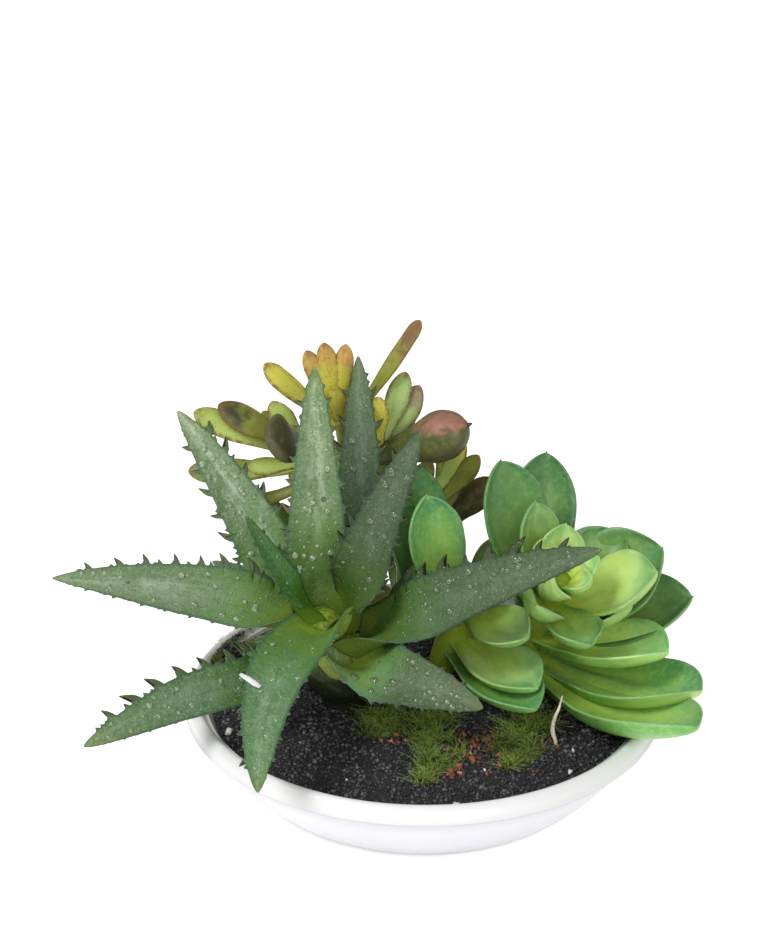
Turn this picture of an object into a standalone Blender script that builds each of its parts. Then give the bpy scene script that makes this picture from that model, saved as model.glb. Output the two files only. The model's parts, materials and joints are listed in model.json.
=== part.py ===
"""A succulent dish garden: a shallow bowl of soil with an aloe, two echeverias, jade stems and moss.

The scene is in metres with +Z up, and the named sizes are in millimetres. The origin is the
centre of the bowl's flat foot, and the garden's front faces -Y.
"""

import random
from math import cos, pi, radians, sin, tau

import bmesh
import bpy
from mathutils import Matrix, Vector, noise

MM = 0.001
UP = Vector((0, 0, 1))
FRONT = Vector((0, -0.9, 0.4))
GAP = 0.3
WELD = 0.01 * MM
SMOOTH_ANGLE = radians(40)

# Bowl: a turned shell with a thick rolled lip
BOWL_STEPS = 60
FOOT_RADIUS = 65.0
BODY_RADIUS = 91.0
BODY_HEIGHT = 30.0
BODY_ROUNDNESS = 1.2
BODY_POINTS = 5
CREASE_RADIUS = 95.5
LIP_RADIUS = 95.0
LIP_HEIGHT = 38.0
LIP_INNER_RADIUS = 89.0
FLOOR_THICKNESS = 5.0
WALL = 4.0

# Soil: fills the bowl, mounds up in the middle and has a crumbly top
SOIL_EDGE_HEIGHT = 29.0
SOIL_MOUND = 6.0
SOIL_RELIEF = 1.1
SOIL_RELIEF_SIZE = 9.0
SOIL_SEGMENTS = 36
SOIL_RINGS = 7
HOLE_FLOOR = 20.0
PIT_FLOOR = 26.0

# Aloe: a short leaning stem and large toothed leaves
ALOE_FOOT = (-31.0, -3.0)
ALOE_LEAN = 0.24
ALOE_STEM = (
    (20.3, 9.5),
    (36.5, 10.0),
    (43.0, 14.5),
    (51.0, 15.5),
    (59.0, 13.0),
    (66.0, 9.5),
    (71.0, 6.5),
    (74.0, 3.5),
)
ALOE_EDGE = 0.35
TOOTH_PITCH = 9.6
TOOTH_BASE = 3.4
TOOTH_HEIGHT = 5.0
TOOTH_HOOK = 0.35

# Root angle, root height and distance from the stem, tip, bow of the middle, face, width and
# thickness of each aloe leaf
ALOE_LEAVES = {
    "left": (180, 66, 0.0, (-148, 15, 79), (0, -3, 14), (0, -0.85, 0.5), 34, 5.5),
    "low_left": (218, 57, 0.0, (-129, -70, 51), (0, 0, 8), (0, -0.85, 0.5), 29, 5.0),
    "front": (274, 70, 2.8, (-62, -105, 52), (-16, 0, 14), (0, 0, 1), 33, 5.5),
    "low_right": (290, 57, 2.9, (22, -55, 59), (2, -8, 7), (0, -0.7, 0.7), 32, 5.0),
    "right": (-18, 62, 2.0, (67, -32, 115), (0, -4, 11), (-0.1, -0.85, 0.55), 30, 5.0),
    "upper_right": (-6, 70, 2.2, (-1, -5, 153), (-5, 0, 0), (-0.4, -0.9, 0.2), 28, 5.0),
    "top": (108, 70, 1.5, (-43, 35, 162), (0, 0, 0), (0, -0.9, 0.4), 30, 5.0),
    "top_back": (66, 61, 1.5, (-26, 58, 157), (6, 8, 0), (0.1, -0.9, 0.4), 28, 5.0),
    "upper_left": (138, 60, 0.8, (-98, 42, 140), (0, 20, 0), (0.3, -0.8, 0.5), 31, 5.0),
    "inner": (208, 73, 0.6, (-69, -15, 121), (-3, 0, 2), (0.6, -0.6, 0.4), 15, 4.0),
    "back": (125, 52, 0.3, (-88, 84, 52), (0, 0, 10), (0, 0, 1), 28, 5.0),
}

# Size of the teeth on each leaf's two margins, as a share of the full one
ALOE_TEETH = {
    "left": (0.2, 0.95),
    "low_left": (0.1, 1.35),
    "front": (0.3, 0.6),
    "low_right": (0.3, 0.45),
    "right": (1.15, 0.15),
    "upper_right": (0.75, 0.6),
    "top": (0.75, 0.65),
    "top_back": (0.75, 0.9),
    "upper_left": (0.85, 0.95),
    "inner": (0.4, 0.4),
    "back": (0.6, 0.6),
}

# Echeverias: stem foot, tilt, the direction of the tilt, and the stem's length and radius
RIGHT_ROSETTE = ((36.0, 26.0), 30.0, -50.0, 60.0, 6.5)
LEFT_ROSETTE = ((8.0, 22.0), 25.0, -60.0, 48.0, 6.0)

# Azimuth, rise, length, height of the root up the stem, width and sag of each rosette leaf, and
# how far its face turns to the front
RIGHT_LEAVES = (
    (-37, 35, 86, 16, 35, 0.25, -0.05),
    (-55, 35, 105, 16.5, 38, 0.25, 0.0),
    (-29, 36, 62, 25, 32, 0.16, -0.1),
    (7, 38, 69, 20, 32, 0.14, 0.0),
    (-70, 25, 37, 46, 21, 0.14, 0.35),
    (130, 36, 64, 36, 30, 0.16, 0.1),
    (101, 35, 73, 24, 29, 0.16, 0.1),
    (28, 44, 59, 30, 38, 0.2, 0.0),
    (51, 34, 45, 38, 27, 0.18, 0.0),
    (0, 49, 49, 41, 30, 0.2, 0.0),
    (-16, 45, 40, 36, 28, 0.2, 0.0),
    (125, 43, 41, 44, 18, 0.18, 0.1),
    (101, 47, 28, 50, 18, 0.18, 0.1),
    (-49, 63, 20, 56, 14, 0.2, 0.2),
    (21, 60, 20, 56, 14, 0.2, 0.0),
    (165, 55, 26, 52, 16, 0.2, 0.0),
    (-125, 55, 26, 52, 16, 0.2, 0.3),
    (61, 23, 51, 20, 32, 0.14, 0.0),
    (175, 40, 26, 42, 18, 0.16, 0.0),
    (-120, 40, 32, 44, 20, 0.16, 0.3),
)
LEFT_LEAVES = (
    (-54, 24, 54, 22, 25, 0.12, 0.25),
    (-60, 26, 64, 15, 26, 0.1, 0.2),
    (-50, 29, 39, 38, 21, 0.14, 0.4),
    (131, 50, 55, 28, 24, 0.16, 0.2),
    (139, 42, 61, 20, 22, 0.14, 0.1),
    (120, 38, 71, 20, 22, 0.14, 0.0),
    (96, 46, 22, 32, 16, 0.16, 0.0),
    (-175, 36, 34, 30, 22, 0.16, 0.0),
    (-110, 50, 24, 40, 16, 0.18, 0.0),
    (150, 66, 15, 42, 12, 0.2, 0.0),
    (20, 62, 20, 42, 14, 0.2, 0.0),
    (-40, 60, 20, 43, 13, 0.2, 0.0),
)
ROSETTE_EDGE = 0.45
ROSETTE_CUP = 0.42
ROSETTE_THICKNESS = 5.5

# Jade stems: the points from the foot up, then each finger leaf's root along the stem, tip and width
JADE_RADIUS = 2.6
JADE_SIDES = 6
JADE_FLATNESS = 0.68
JADE_SAG = 2.0
JADE_FACE = Vector((0, -0.7, 0.7))
JADE_SHAPE = ((0.0, 0.45), (0.35, 0.7), (0.68, 1.0), (0.9, 0.8), (1.0, 0.28))
JADE_STEMS = {
    "left": (
        ((-44, 46, 20.3), (-44, 46, 60), (-45, 50, 95), (-46, 50, 120)),
        (
            (0.95, (-92, 48, 137), 11), (1.0, (-82, 46, 141), 12), (1.0, (-61, 26, 139), 22),
            (1.0, (-61, 54, 139), 10), (0.95, (-65, 60, 132), 8), (0.9, (-72, 50, 112), 8),
            (0.85, (-95, 50, 110), 11), (0.7, (-82, 52, 90), 8), (0.98, (-62, 76, 129), 10),
            (0.8, (-60, 84, 114), 10), (0.7, (-30, 56, 104), 9), (0.35, (-52, 79, 103), 10),
            (0.15, (-66, 64, 92), 10), (-0.05, (-40, 72, 78), 9),
        ),
    ),
    "top": (
        ((-26, 64, 20.3), (-26, 64, 60), (-30, 66, 100), (-34, 66, 125)),
        (
            (0.95, (-64, 62, 152), 9), (1.0, (-47, 64, 157), 8), (1.0, (-40, 65, 160), 9),
            (1.0, (-31, 66, 159), 8), (1.0, (-35, 60, 143), 9), (0.88, (-1, 62, 171), 6.5),
            (0.95, (-26, 84, 140), 9), (0.9, (-40, 90, 146), 9), (0.8, (-22, 94, 128), 10),
            (0.45, (-46, 90, 112), 10), (0.3, (-18, 90, 104), 10), (0.1, (-42, 86, 90), 10),
            (-0.1, (-20, 86, 76), 9), (-0.28, (-38, 84, 62), 9),
        ),
    ),
    "middle": (
        ((-8, 62, 20.3), (-8, 62, 60), (-13, 60, 90), (-18, 58, 115)),
        (
            (1.0, (-6.6, 68, 146), 10), (0.95, (-1, 68, 140), 11), (1.0, (-18, 52, 142), 9),
            (0.97, (18, 44, 133), 21.5), (0.95, (-4, 84, 124), 10), (0.8, (14, 78, 118), 10),
            (0.75, (-6, 92, 112), 10), (0.35, (4, 86, 98), 10), (0.1, (-4, 88, 82), 10),
            (-0.1, (8, 82, 72), 9), (-0.3, (-10, 84, 60), 9), (-0.3, (-20, 81, 43), 11),
        ),
    ),
    "right": (
        ((16, 58, 20.3), (16, 58, 50), (10, 56, 76), (4, 55, 96)),
        (
            (1.0, (17, 57, 120), 8.5), (0.9, (23, 52, 116), 9), (0.65, (28, 54, 105), 13),
            (0.85, (28, 76, 92), 11), (0.9, (14, 80, 112), 10), (0.7, (28, 88, 84), 10),
            (0.2, (12, 82, 80), 10), (0.0, (32, 78, 66), 9), (-0.15, (14, 82, 58), 9),
        ),
    ),
}

# Moss tufts: centre, radius and number of threads
MOSS_TUFTS = (
    (-17, -27, 9, 12),
    (1, -36, 9, 12),
    (4, -54, 8, 10),
    (37, -40, 11, 14),
    (-68, 26, 9, 12),
)
MOSS_HEIGHT = 7.0
MOSS_THREAD = 0.9

TWIG_POINTS = ((51, -36, 29.0), (51, -36, 34.0), (50.5, -34, 38), (52, -32, 44), (54, -29, 50))
TWIG_RADIUS = 1.1


def start_empty_scene():
    for obj in list(bpy.data.objects):
        bpy.data.objects.remove(obj, do_unlink=True)


def collection(name, hidden=False):
    made = bpy.data.collections.new(name)
    made.hide_render = hidden
    bpy.context.scene.collection.children.link(made)
    return made


def material(name, color, roughness, metallic=0.0):
    made = bpy.data.materials.new(name)
    made.use_nodes = True
    shader = made.node_tree.nodes["Principled BSDF"]
    shader.inputs["Base Color"].default_value = (*color, 1.0)
    shader.inputs["Roughness"].default_value = roughness
    shader.inputs["Metallic"].default_value = metallic
    made.diffuse_color = (*color, 1.0)
    return made


def smoothstep(x):
    x = min(max(x, 0.0), 1.0)
    return x * x * (3.0 - 2.0 * x)


def object_from(bm, name, finish, group):
    """A named object in metres, from a bmesh in millimetres."""
    bmesh.ops.scale(bm, vec=(MM, MM, MM), verts=bm.verts)
    bmesh.ops.remove_doubles(bm, verts=bm.verts, dist=WELD)
    bmesh.ops.recalc_face_normals(bm, faces=bm.faces)
    mesh = bpy.data.meshes.new(name)
    bm.to_mesh(mesh)
    bm.free()
    mesh.shade_smooth()
    mesh.set_sharp_from_angle(angle=SMOOTH_ANGLE)
    obj = bpy.data.objects.new(name, mesh)
    mesh.materials.append(finish)
    group.objects.link(obj)
    return obj


def frame_at(tangent, face):
    """The side and the upper normal of a leaf that runs along tangent and looks towards face."""
    normal = (face - face.dot(tangent) * tangent).normalized()
    return tangent.cross(normal), normal


def bezier(root, control, tip, t):
    point = root * (1 - t) ** 2 + control * 2 * t * (1 - t) + tip * t * t
    tangent = (control - root) * (1 - t) + (tip - control) * t
    return point, tangent.normalized()


def blade(stations):
    """A closed leaf skin from stations of upper and lower points, split alike on both faces."""
    bm = bmesh.new()
    rows = [([bm.verts.new(p) for p in up], [bm.verts.new(p) for p in low]) for up, low in stations]
    last = len(rows[0][0]) - 1
    for (up, low), (up2, low2) in zip(rows, rows[1:]):
        for j in range(last):
            bm.faces.new((up[j], up[j + 1], up2[j + 1]))
            bm.faces.new((up[j], up2[j + 1], up2[j]))
            bm.faces.new((low[j], low2[j + 1], low[j + 1]))
            bm.faces.new((low[j], low2[j], low2[j + 1]))
        bm.faces.new((up[0], up2[0], low2[0], low[0]))
        bm.faces.new((up[last], low[last], low2[last], up2[last]))
    for up, low in (rows[0], rows[-1]):
        bm.faces.new(up + low[::-1])
    return bm


def leaf_section(center, side, normal, reach, cup, edge, belly, across):
    """Upper and lower points across a leaf; reach holds the left and right half widths."""
    upper, lower = [], []
    width = sum(reach) / 2
    for j in range(across + 1):
        u = 2 * j / across - 1
        out = side * (u * (reach[0] if u < 0 else reach[1]))
        lift = cup * width * min(u * u, 1.0)
        upper.append(center + out + normal * (lift + edge))
        lower.append(center + out + normal * (lift - edge - belly * (1 - u * u)))
    return upper, lower


def pod(path, halfs, sides, bm):
    """A closed fat leaf or thread: rings round a path with a half width and half thickness each."""
    rings = []
    for (center, side, normal), (wide, thick) in zip(path, halfs):
        ring = []
        for k in range(sides):
            a = tau * k / sides
            ring.append(bm.verts.new(center + side * (cos(a) * wide) + normal * (sin(a) * thick)))
        rings.append(ring)
    for ring, ring2 in zip(rings, rings[1:]):
        for k in range(sides):
            n = (k + 1) % sides
            bm.faces.new((ring[k], ring[n], ring2[n], ring2[k]))
    bm.faces.new(rings[0])
    bm.faces.new(rings[-1])


def tube(name, points, radii, finish, group, resolution=2):
    """A solid round stem through the points: a beveled curve turned into a closed mesh."""
    curve = bpy.data.curves.new(name, "CURVE")
    curve.dimensions = "3D"
    curve.bevel_depth = MM
    curve.bevel_resolution = resolution
    curve.use_fill_caps = True
    spline = curve.splines.new("POLY")
    spline.points.add(len(points) - 1)
    for knot, point, radius in zip(spline.points, points, radii):
        knot.co = (*(MM * c for c in point), 1.0)
        knot.radius = radius
    guide = bpy.data.objects.new(name + "_guide", curve)
    group.objects.link(guide)
    graph = bpy.context.evaluated_depsgraph_get()
    mesh = bpy.data.meshes.new_from_object(guide.evaluated_get(graph))
    bpy.data.objects.remove(guide)
    bm = bmesh.new()
    bm.from_mesh(mesh)
    bmesh.ops.scale(bm, vec=(1 / MM,) * 3, verts=bm.verts)
    return object_from(bm, name, finish, group)


def keep_largest_shell(mesh):
    """Drops loose scraps and the walls of sealed hollows."""
    bm = bmesh.new()
    bm.from_mesh(mesh)
    bmesh.ops.remove_doubles(bm, verts=bm.verts, dist=WELD)
    bmesh.ops.dissolve_degenerate(bm, edges=bm.edges, dist=WELD)
    left = set(bm.faces)
    shells = []
    while left:
        shell, edge = set(), [left.pop()]
        while edge:
            face = edge.pop()
            shell.add(face)
            for near in (f for e in face.edges for f in e.link_faces):
                if near in left:
                    left.remove(near)
                    edge.append(near)
        shells.append(shell)
    shells.sort(key=lambda shell: sum(face.calc_area() for face in shell))
    scraps = [face for shell in shells[:-1] for face in shell]
    bmesh.ops.delete(bm, geom=scraps, context="FACES")
    bm.to_mesh(mesh)
    bm.free()


def apply_modifiers(obj):
    graph = bpy.context.evaluated_depsgraph_get()
    mesh = bpy.data.meshes.new_from_object(obj.evaluated_get(graph))
    obj.modifiers.clear()
    obj.data = mesh


def fuse(name, core, pieces):
    """One body from a core and the pieces rooted in it."""
    helpers = collection(name + "_pieces")
    for piece in pieces:
        helpers.objects.link(piece)
    union = core.modifiers.new("Fuse", "BOOLEAN")
    union.operation = "UNION"
    union.operand_type = "COLLECTION"
    union.collection = helpers
    union.solver = "MANIFOLD"
    apply_modifiers(core)
    for piece in pieces:
        bpy.data.objects.remove(piece)
    bpy.data.collections.remove(helpers)
    keep_largest_shell(core.data)
    core.data.shade_smooth()
    core.data.set_sharp_from_angle(angle=SMOOTH_ANGLE)
    core.name = name
    return core


def body_profile(inset=0.0):
    """Points of the bowl's curved body from under the lip to the foot, moved inwards by inset."""
    points = []
    for k in range(BODY_POINTS + 1):
        a = pi / 2 * k / BODY_POINTS
        radius = FOOT_RADIUS + (BODY_RADIUS - FOOT_RADIUS) * cos(a) ** (2 / BODY_ROUNDNESS)
        height = BODY_HEIGHT * (1 - sin(a) ** (2 / BODY_ROUNDNESS))
        points.append((radius - inset, height))
    return points


def inner_profile():
    """The bowl's inside from the lip down to its floor."""
    wall = [(r, z + FLOOR_THICKNESS) for r, z in body_profile(inset=WALL)[1:]]
    return [(LIP_INNER_RADIUS, LIP_HEIGHT - 1.5), (LIP_INNER_RADIUS - 1.5, LIP_HEIGHT - 5.0), *wall]


def turned(name, profile, steps, finish, group):
    """A turned solid: the profile runs from the axis up the inside and down the outer side."""
    mesh = bpy.data.meshes.new(name)
    verts = [(r * MM, 0.0, z * MM) for r, z in profile]
    mesh.from_pydata(verts, [(k, k + 1) for k in range(len(verts) - 1)], [])
    obj = bpy.data.objects.new(name, mesh)
    group.objects.link(obj)
    mesh.materials.append(finish)
    screw = obj.modifiers.new("Turn", "SCREW")
    screw.axis = "Z"
    screw.steps = steps
    screw.render_steps = steps
    screw.use_merge_vertices = True
    screw.merge_threshold = WELD
    screw.use_smooth_shade = True
    return obj


def build_bowl(group):
    glaze = material("white_glaze", (0.86, 0.86, 0.85), 0.28)
    lip = [
        (LIP_INNER_RADIUS + 1.2, LIP_HEIGHT - 0.3),
        (LIP_INNER_RADIUS + 2.8, LIP_HEIGHT),
        (LIP_RADIUS - 1.2, LIP_HEIGHT - 1.8),
        (LIP_RADIUS, LIP_HEIGHT - 4.5),
        (CREASE_RADIUS, LIP_HEIGHT - 6.6),
        (CREASE_RADIUS - 1.2, LIP_HEIGHT - 7.6),
        (BODY_RADIUS + 0.6, BODY_HEIGHT + 0.2),
    ]
    inside = [(0.0, FLOOR_THICKNESS), *inner_profile()[::-1]]
    profile = [*inside, *lip, *body_profile(), (0.0, 0.0)]
    return turned("bowl", profile, BOWL_STEPS, glaze, group)


def soil_height(x, y):
    """Height of the soil's top: a low mound with crumbs."""
    share = min((x * x + y * y) / (BODY_RADIUS - WALL) ** 2, 1.0)
    grain = noise.noise(Vector((x, y, 3.0)) / SOIL_RELIEF_SIZE)
    return SOIL_EDGE_HEIGHT + SOIL_MOUND * (1 - share) + SOIL_RELIEF * grain


def soil_wall():
    """The soil's side profile just inside the bowl, from its top edge to its bottom."""
    wall = [(r - GAP, z + GAP) for r, z in inner_profile() if z < SOIL_EDGE_HEIGHT - 1.0]
    return [(wall[0][0] + 1.5, SOIL_EDGE_HEIGHT), *wall]


def soil_block(group):
    earth = material("dark_soil", (0.035, 0.03, 0.028), 0.95)
    bm = bmesh.new()
    sides = soil_wall()
    rim = sides[0][0]
    rings = []
    for k in range(1, SOIL_RINGS + 1):
        radius = rim * k / SOIL_RINGS
        level = sides[0][1] if k == SOIL_RINGS else None
        rings.append((radius, level))
    rings += sides[1:]
    rows = []
    for radius, level in rings:
        row = []
        for s in range(SOIL_SEGMENTS):
            a = tau * s / SOIL_SEGMENTS
            x, y = radius * cos(a), radius * sin(a)
            row.append(bm.verts.new((x, y, soil_height(x, y) if level is None else level)))
        rows.append(row)
    top = bm.verts.new((0, 0, soil_height(0, 0)))
    for s in range(SOIL_SEGMENTS):
        n = (s + 1) % SOIL_SEGMENTS
        bm.faces.new((top, rows[0][s], rows[0][n]))
        for row, row2 in zip(rows, rows[1:]):
            bm.faces.new((row[s], row2[s], row2[n], row[n]))
    bm.faces.new(rows[-1])
    bmesh.ops.triangulate(bm, faces=[f for f in bm.faces if len(f.verts) == 4])
    return object_from(bm, "soil", earth, group)


def hole_cutter(x, y, radius, floor, group):
    bm = bmesh.new()
    top = BODY_HEIGHT * 2
    lift = Matrix.Translation((x, y, (floor + top) / 2))
    bmesh.ops.create_cone(
        bm, cap_ends=True, segments=12, radius1=radius, radius2=radius, depth=top - floor, matrix=lift
    )
    clay = bpy.data.materials.get("dark_soil")
    cutter = object_from(bm, "hole", clay, group)
    cutter.display_type = "WIRE"
    cutter.hide_render = True
    return cutter


def build_soil(group, cutters):
    """The soil with a plain hole for every stem and a shallow pit for every moss tuft."""
    soil = soil_block(group)
    stands = [(*ALOE_FOOT, ALOE_STEM[1][1], HOLE_FLOOR)]
    for (x, y), _, _, _, radius in (RIGHT_ROSETTE, LEFT_ROSETTE):
        stands.append((x, y, radius + 1.5, HOLE_FLOOR))
    for points, _ in JADE_STEMS.values():
        stands.append((points[0][0], points[0][1], JADE_RADIUS, HOLE_FLOOR))
    stands.append((TWIG_POINTS[0][0], TWIG_POINTS[0][1], TWIG_RADIUS + 1.2, TWIG_POINTS[0][2] - GAP))
    stands += [(x, y, radius, PIT_FLOOR) for x, y, radius, _ in MOSS_TUFTS]
    for x, y, radius, floor in stands:
        hole_cutter(x, y, radius + GAP, floor, cutters)
    dig = soil.modifiers.new("Holes", "BOOLEAN")
    dig.operation = "DIFFERENCE"
    dig.operand_type = "COLLECTION"
    dig.collection = cutters
    return soil


def aloe_axis(height):
    """Centre of the leaning aloe stem at this height."""
    lean = ALOE_LEAN * max(height - ALOE_STEM[1][0], 0.0)
    return Vector((ALOE_FOOT[0] - lean, ALOE_FOOT[1], height))


def aloe_radius(height):
    for (z, r), (z2, r2) in zip(ALOE_STEM, ALOE_STEM[1:]):
        if z <= height <= z2:
            return r + (r2 - r) * (height - z) / (z2 - z)
    return ALOE_STEM[-1][1]


def build_aloe_stem(group):
    sheath = material("aloe_sheath", (0.35, 0.42, 0.05), 0.5)
    points = [aloe_axis(z) for z, _ in ALOE_STEM]
    radii = [r for _, r in ALOE_STEM]
    return tube("aloe_stem", points, radii, sheath, group, resolution=4)


def tooth_stations(length):
    """Shares of the leaf's length with how far a full tooth stands out there."""
    stations = [(0.0, 0.0), (0.07, 0.0)]
    count = int(length * 0.8 / TOOTH_PITCH)
    for k in range(count):
        start = 0.15 + 0.8 * k / count
        base = TOOTH_BASE / length
        height = TOOTH_HEIGHT * (1 - 0.5 * start)
        stations += [(start, 0.0), (start + base * 0.7, height), (start + base, 0.0)]
    return stations + [(0.985, 0.0), (1.0, 0.0)]


def build_aloe_leaf(name, spec, skin, group):
    angle, height, seat, tip, bow, face, width, thickness = spec
    radial = Vector((cos(radians(angle)), sin(radians(angle)), 0))
    root = aloe_axis(height) + radial * (aloe_radius(height) + seat)
    tip = Vector(tip)
    control = root.lerp(tip, 0.4) + Vector(bow)
    length = (tip - root).length
    stations = []
    for t, tooth in tooth_stations(length):
        center, tangent = bezier(root, control, tip, t)
        look = (UP - radial * 0.6).lerp(Vector(face), smoothstep(t / 0.4))
        side, normal = frame_at(tangent, look)
        spread = 0.5 + 0.5 * smoothstep(t / 0.24)
        half = max(width / 2 * spread * (1 - t) ** 0.6, 0.5)
        belly = thickness * (1 - t) ** 0.5 * (0.6 + 0.4 * spread) + 0.2
        cup = 0.3 - 0.12 * t
        upper, lower = leaf_section(center, side, normal, (half, half), cup, ALOE_EDGE, belly, 2)
        left, right = (tooth * scale for scale in ALOE_TEETH[name])
        for row in (upper, lower):
            row[0] = row[0] + (tangent * TOOTH_HOOK - side) * left
            row[-1] = row[-1] + (tangent * TOOTH_HOOK + side) * right
        stations.append((upper, lower))
    return object_from(blade(stations), "aloe_leaf_" + name, skin, group)


def rosette_frame(spec):
    (x, y), tilt, toward, length, radius = spec
    lean = radians(toward)
    turn = Matrix.Rotation(radians(tilt), 4, Vector((-sin(lean), cos(lean), 0)))
    return Matrix.Translation((x, y, soil_height(x, y))) @ turn


def rosette_width(t):
    """Half width of a spoon leaf as a share of its widest half."""
    rise = 0.34 + 0.66 * smoothstep(t / 0.62)
    fall = max(1 - max((t - 0.66) / 0.34, 0.0) ** 2.4, 0.0) ** 0.7
    return rise * max(fall, 0.05)


def rosette_leaf(name, spec, front, skin, group):
    """A cupped spoon leaf in the rosette's own frame, rooted on the stem's axis."""
    azimuth, rise, length, seat, width, sag_share, turn = spec
    a, e = radians(azimuth), radians(rise)
    chord = Vector((cos(a) * cos(e), sin(a) * cos(e), sin(e))) * length
    out = Vector((cos(a), sin(a), 0))
    look = UP.lerp(front, turn)
    root = UP * seat
    sag = (out * sin(e) - UP * cos(e)) * (sag_share * length)
    control = root + chord * 0.5 + sag
    across = 4 if length > 40 else 2
    stations = []
    for t in (0.0, 0.24, 0.5, 0.74, 0.91, 1.0):
        center, tangent = bezier(root, control, root + chord, t)
        side, normal = frame_at(tangent, look)
        half = width / 2 * rosette_width(t)
        belly = ROSETTE_THICKNESS * (1 - 0.75 * t * t) * min(1.0, 0.25 + half / 9)
        cup = ROSETTE_CUP * smoothstep(t / 0.4)
        stations.append(leaf_section(center, side, normal, (half, half), cup, ROSETTE_EDGE, belly, across))
    return object_from(blade(stations), name, skin, group)


def build_rosette(name, spec, leaves, group):
    skin = material(name + "_leaf", (0.16, 0.42, 0.12), 0.42)
    (x, y), _, _, length, radius = spec
    frame = rosette_frame(spec)
    foot = Vector((x, y, HOLE_FLOOR + GAP))
    level = frame @ Vector((0, 0, 0))
    top = frame @ Vector((0, 0, length))
    points = [foot, level, level.lerp(top, 0.5), top]
    stem = tube(name, points, (radius, radius, radius, radius * 0.6), skin, group)
    front = frame.to_3x3().inverted() @ FRONT
    pieces = []
    for leaf in leaves:
        piece = rosette_leaf("leaf", leaf, front, skin, group)
        shift = frame.copy()
        shift.translation *= MM
        piece.data.transform(shift)
        group.objects.unlink(piece)
        pieces.append(piece)
    return fuse(name, stem, pieces)


def along(points, share):
    """A point at this share of a stem's length above the soil."""
    shares = share * (len(points) - 2) + 1
    k = min(int(shares), len(points) - 2)
    return Vector(points[k]).lerp(Vector(points[k + 1]), shares - k)


def jade_leaf(root, tip, width, skin, group):
    """A fat finger leaf, widest past its middle, with a blunt tip."""
    control = root.lerp(tip, 0.5) - UP * JADE_SAG
    path, halfs = [], []
    for t, share in JADE_SHAPE:
        center, tangent = bezier(root, control, tip, t)
        side, normal = frame_at(tangent, JADE_FACE)
        path.append((center, side, normal))
        halfs.append((width / 2 * share, width / 2 * share * JADE_FLATNESS))
    bm = bmesh.new()
    pod(path, halfs, JADE_SIDES, bm)
    piece = object_from(bm, "finger", skin, group)
    group.objects.unlink(piece)
    return piece


def build_jade_stem(name, points, leaves, group):
    skin = material("jade_" + name + "_leaf", (0.38, 0.44, 0.06), 0.45)
    radii = [JADE_RADIUS] * (len(points) - 1) + [JADE_RADIUS * 0.8]
    stem = tube("jade_" + name, points, radii, skin, group, resolution=1)
    pieces = [jade_leaf(along(points, share), Vector(tip), width, skin, group) for share, tip, width in leaves]
    return fuse("jade_" + name, stem, pieces)


def moss_thread(x, y, z, lean, height, skin, group):
    bm = bmesh.new()
    path, halfs = [], []
    for t, share in ((0.0, 1.0), (1.0, 0.3)):
        center = Vector((x, y, z)) + lean * (height * t * t) + Vector((0, 0, height * t))
        path.append((center, Vector((1, 0, 0)), Vector((0, 1, 0))))
        halfs.append((MOSS_THREAD * share, MOSS_THREAD * share))
    pod(path, halfs, 3, bm)
    piece = object_from(bm, "thread", skin, group)
    group.objects.unlink(piece)
    return piece


def build_moss(number, x, y, radius, threads, group):
    """A low dome in its pit, with threads that stand out of it all round."""
    skin = bpy.data.materials.get("moss") or material("moss", (0.22, 0.33, 0.03), 0.9)
    draw = random.Random(number)
    ground = soil_height(x, y) + 1.0
    floor = PIT_FLOOR + GAP
    bm = bmesh.new()
    path, halfs = [], []
    for height, share in ((floor, 1.0), (ground + 0.5, 1.0), (ground + 2.5, 0.72), (ground + 3.5, 0.3)):
        path.append((Vector((x, y, height)), Vector((1, 0, 0)), Vector((0, 1, 0))))
        halfs.append((radius * share, radius * share))
    pod(path, halfs, 12, bm)
    core = object_from(bm, "moss", skin, group)
    pieces = []
    for k in range(threads):
        share = ((k + 0.5) / threads) ** 0.5
        a = k * 2.39996
        out = Vector((cos(a), sin(a), 0))
        place = out * (radius * 0.88 * share)
        height = MOSS_HEIGHT * draw.uniform(0.75, 1.15)
        pieces.append(
            moss_thread(x + place.x, y + place.y, ground - 1.0, out * 0.45 * share, height, skin, group)
        )
    return fuse(f"moss_{number}", core, pieces)


def build_twig(group):
    bark = material("pale_twig", (0.72, 0.62, 0.42), 0.8)
    radii = [TWIG_RADIUS * share for share in (1.0, 1.0, 1.0, 0.8, 0.45)]
    return tube("twig", TWIG_POINTS, radii, bark, group, resolution=1)


def build_garden():
    start_empty_scene()
    garden = collection("succulent_dish_garden")
    cutters = collection("cutters", hidden=True)
    build_bowl(garden)
    build_soil(garden, cutters)
    build_aloe_stem(garden)
    skin = material("aloe_leaf", (0.12, 0.24, 0.13), 0.5)
    for name, spec in ALOE_LEAVES.items():
        build_aloe_leaf(name, spec, skin, garden)
    build_rosette("echeveria_right", RIGHT_ROSETTE, RIGHT_LEAVES, garden)
    build_rosette("echeveria_left", LEFT_ROSETTE, LEFT_LEAVES, garden)
    for name, (points, leaves) in JADE_STEMS.items():
        build_jade_stem(name, points, leaves, garden)
    for number, (x, y, radius, threads) in enumerate(MOSS_TUFTS, 1):
        build_moss(number, x, y, radius, threads, garden)
    build_twig(garden)


build_garden()
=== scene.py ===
"""The looks of the succulent dish garden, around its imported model.

Places and sizes are in millimetres in the model's frame: the origin is the centre of the bowl's
flat foot, +Z is up and the front faces -Y. The planting tables are the ones that the solids are
built from, so each fine leaf lies where its solid does.
"""

import json
import random
from math import cos, exp, pi, radians, sin, sqrt, tau

import bmesh
import bpy
from mathutils import Euler, Matrix, Vector, noise

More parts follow.
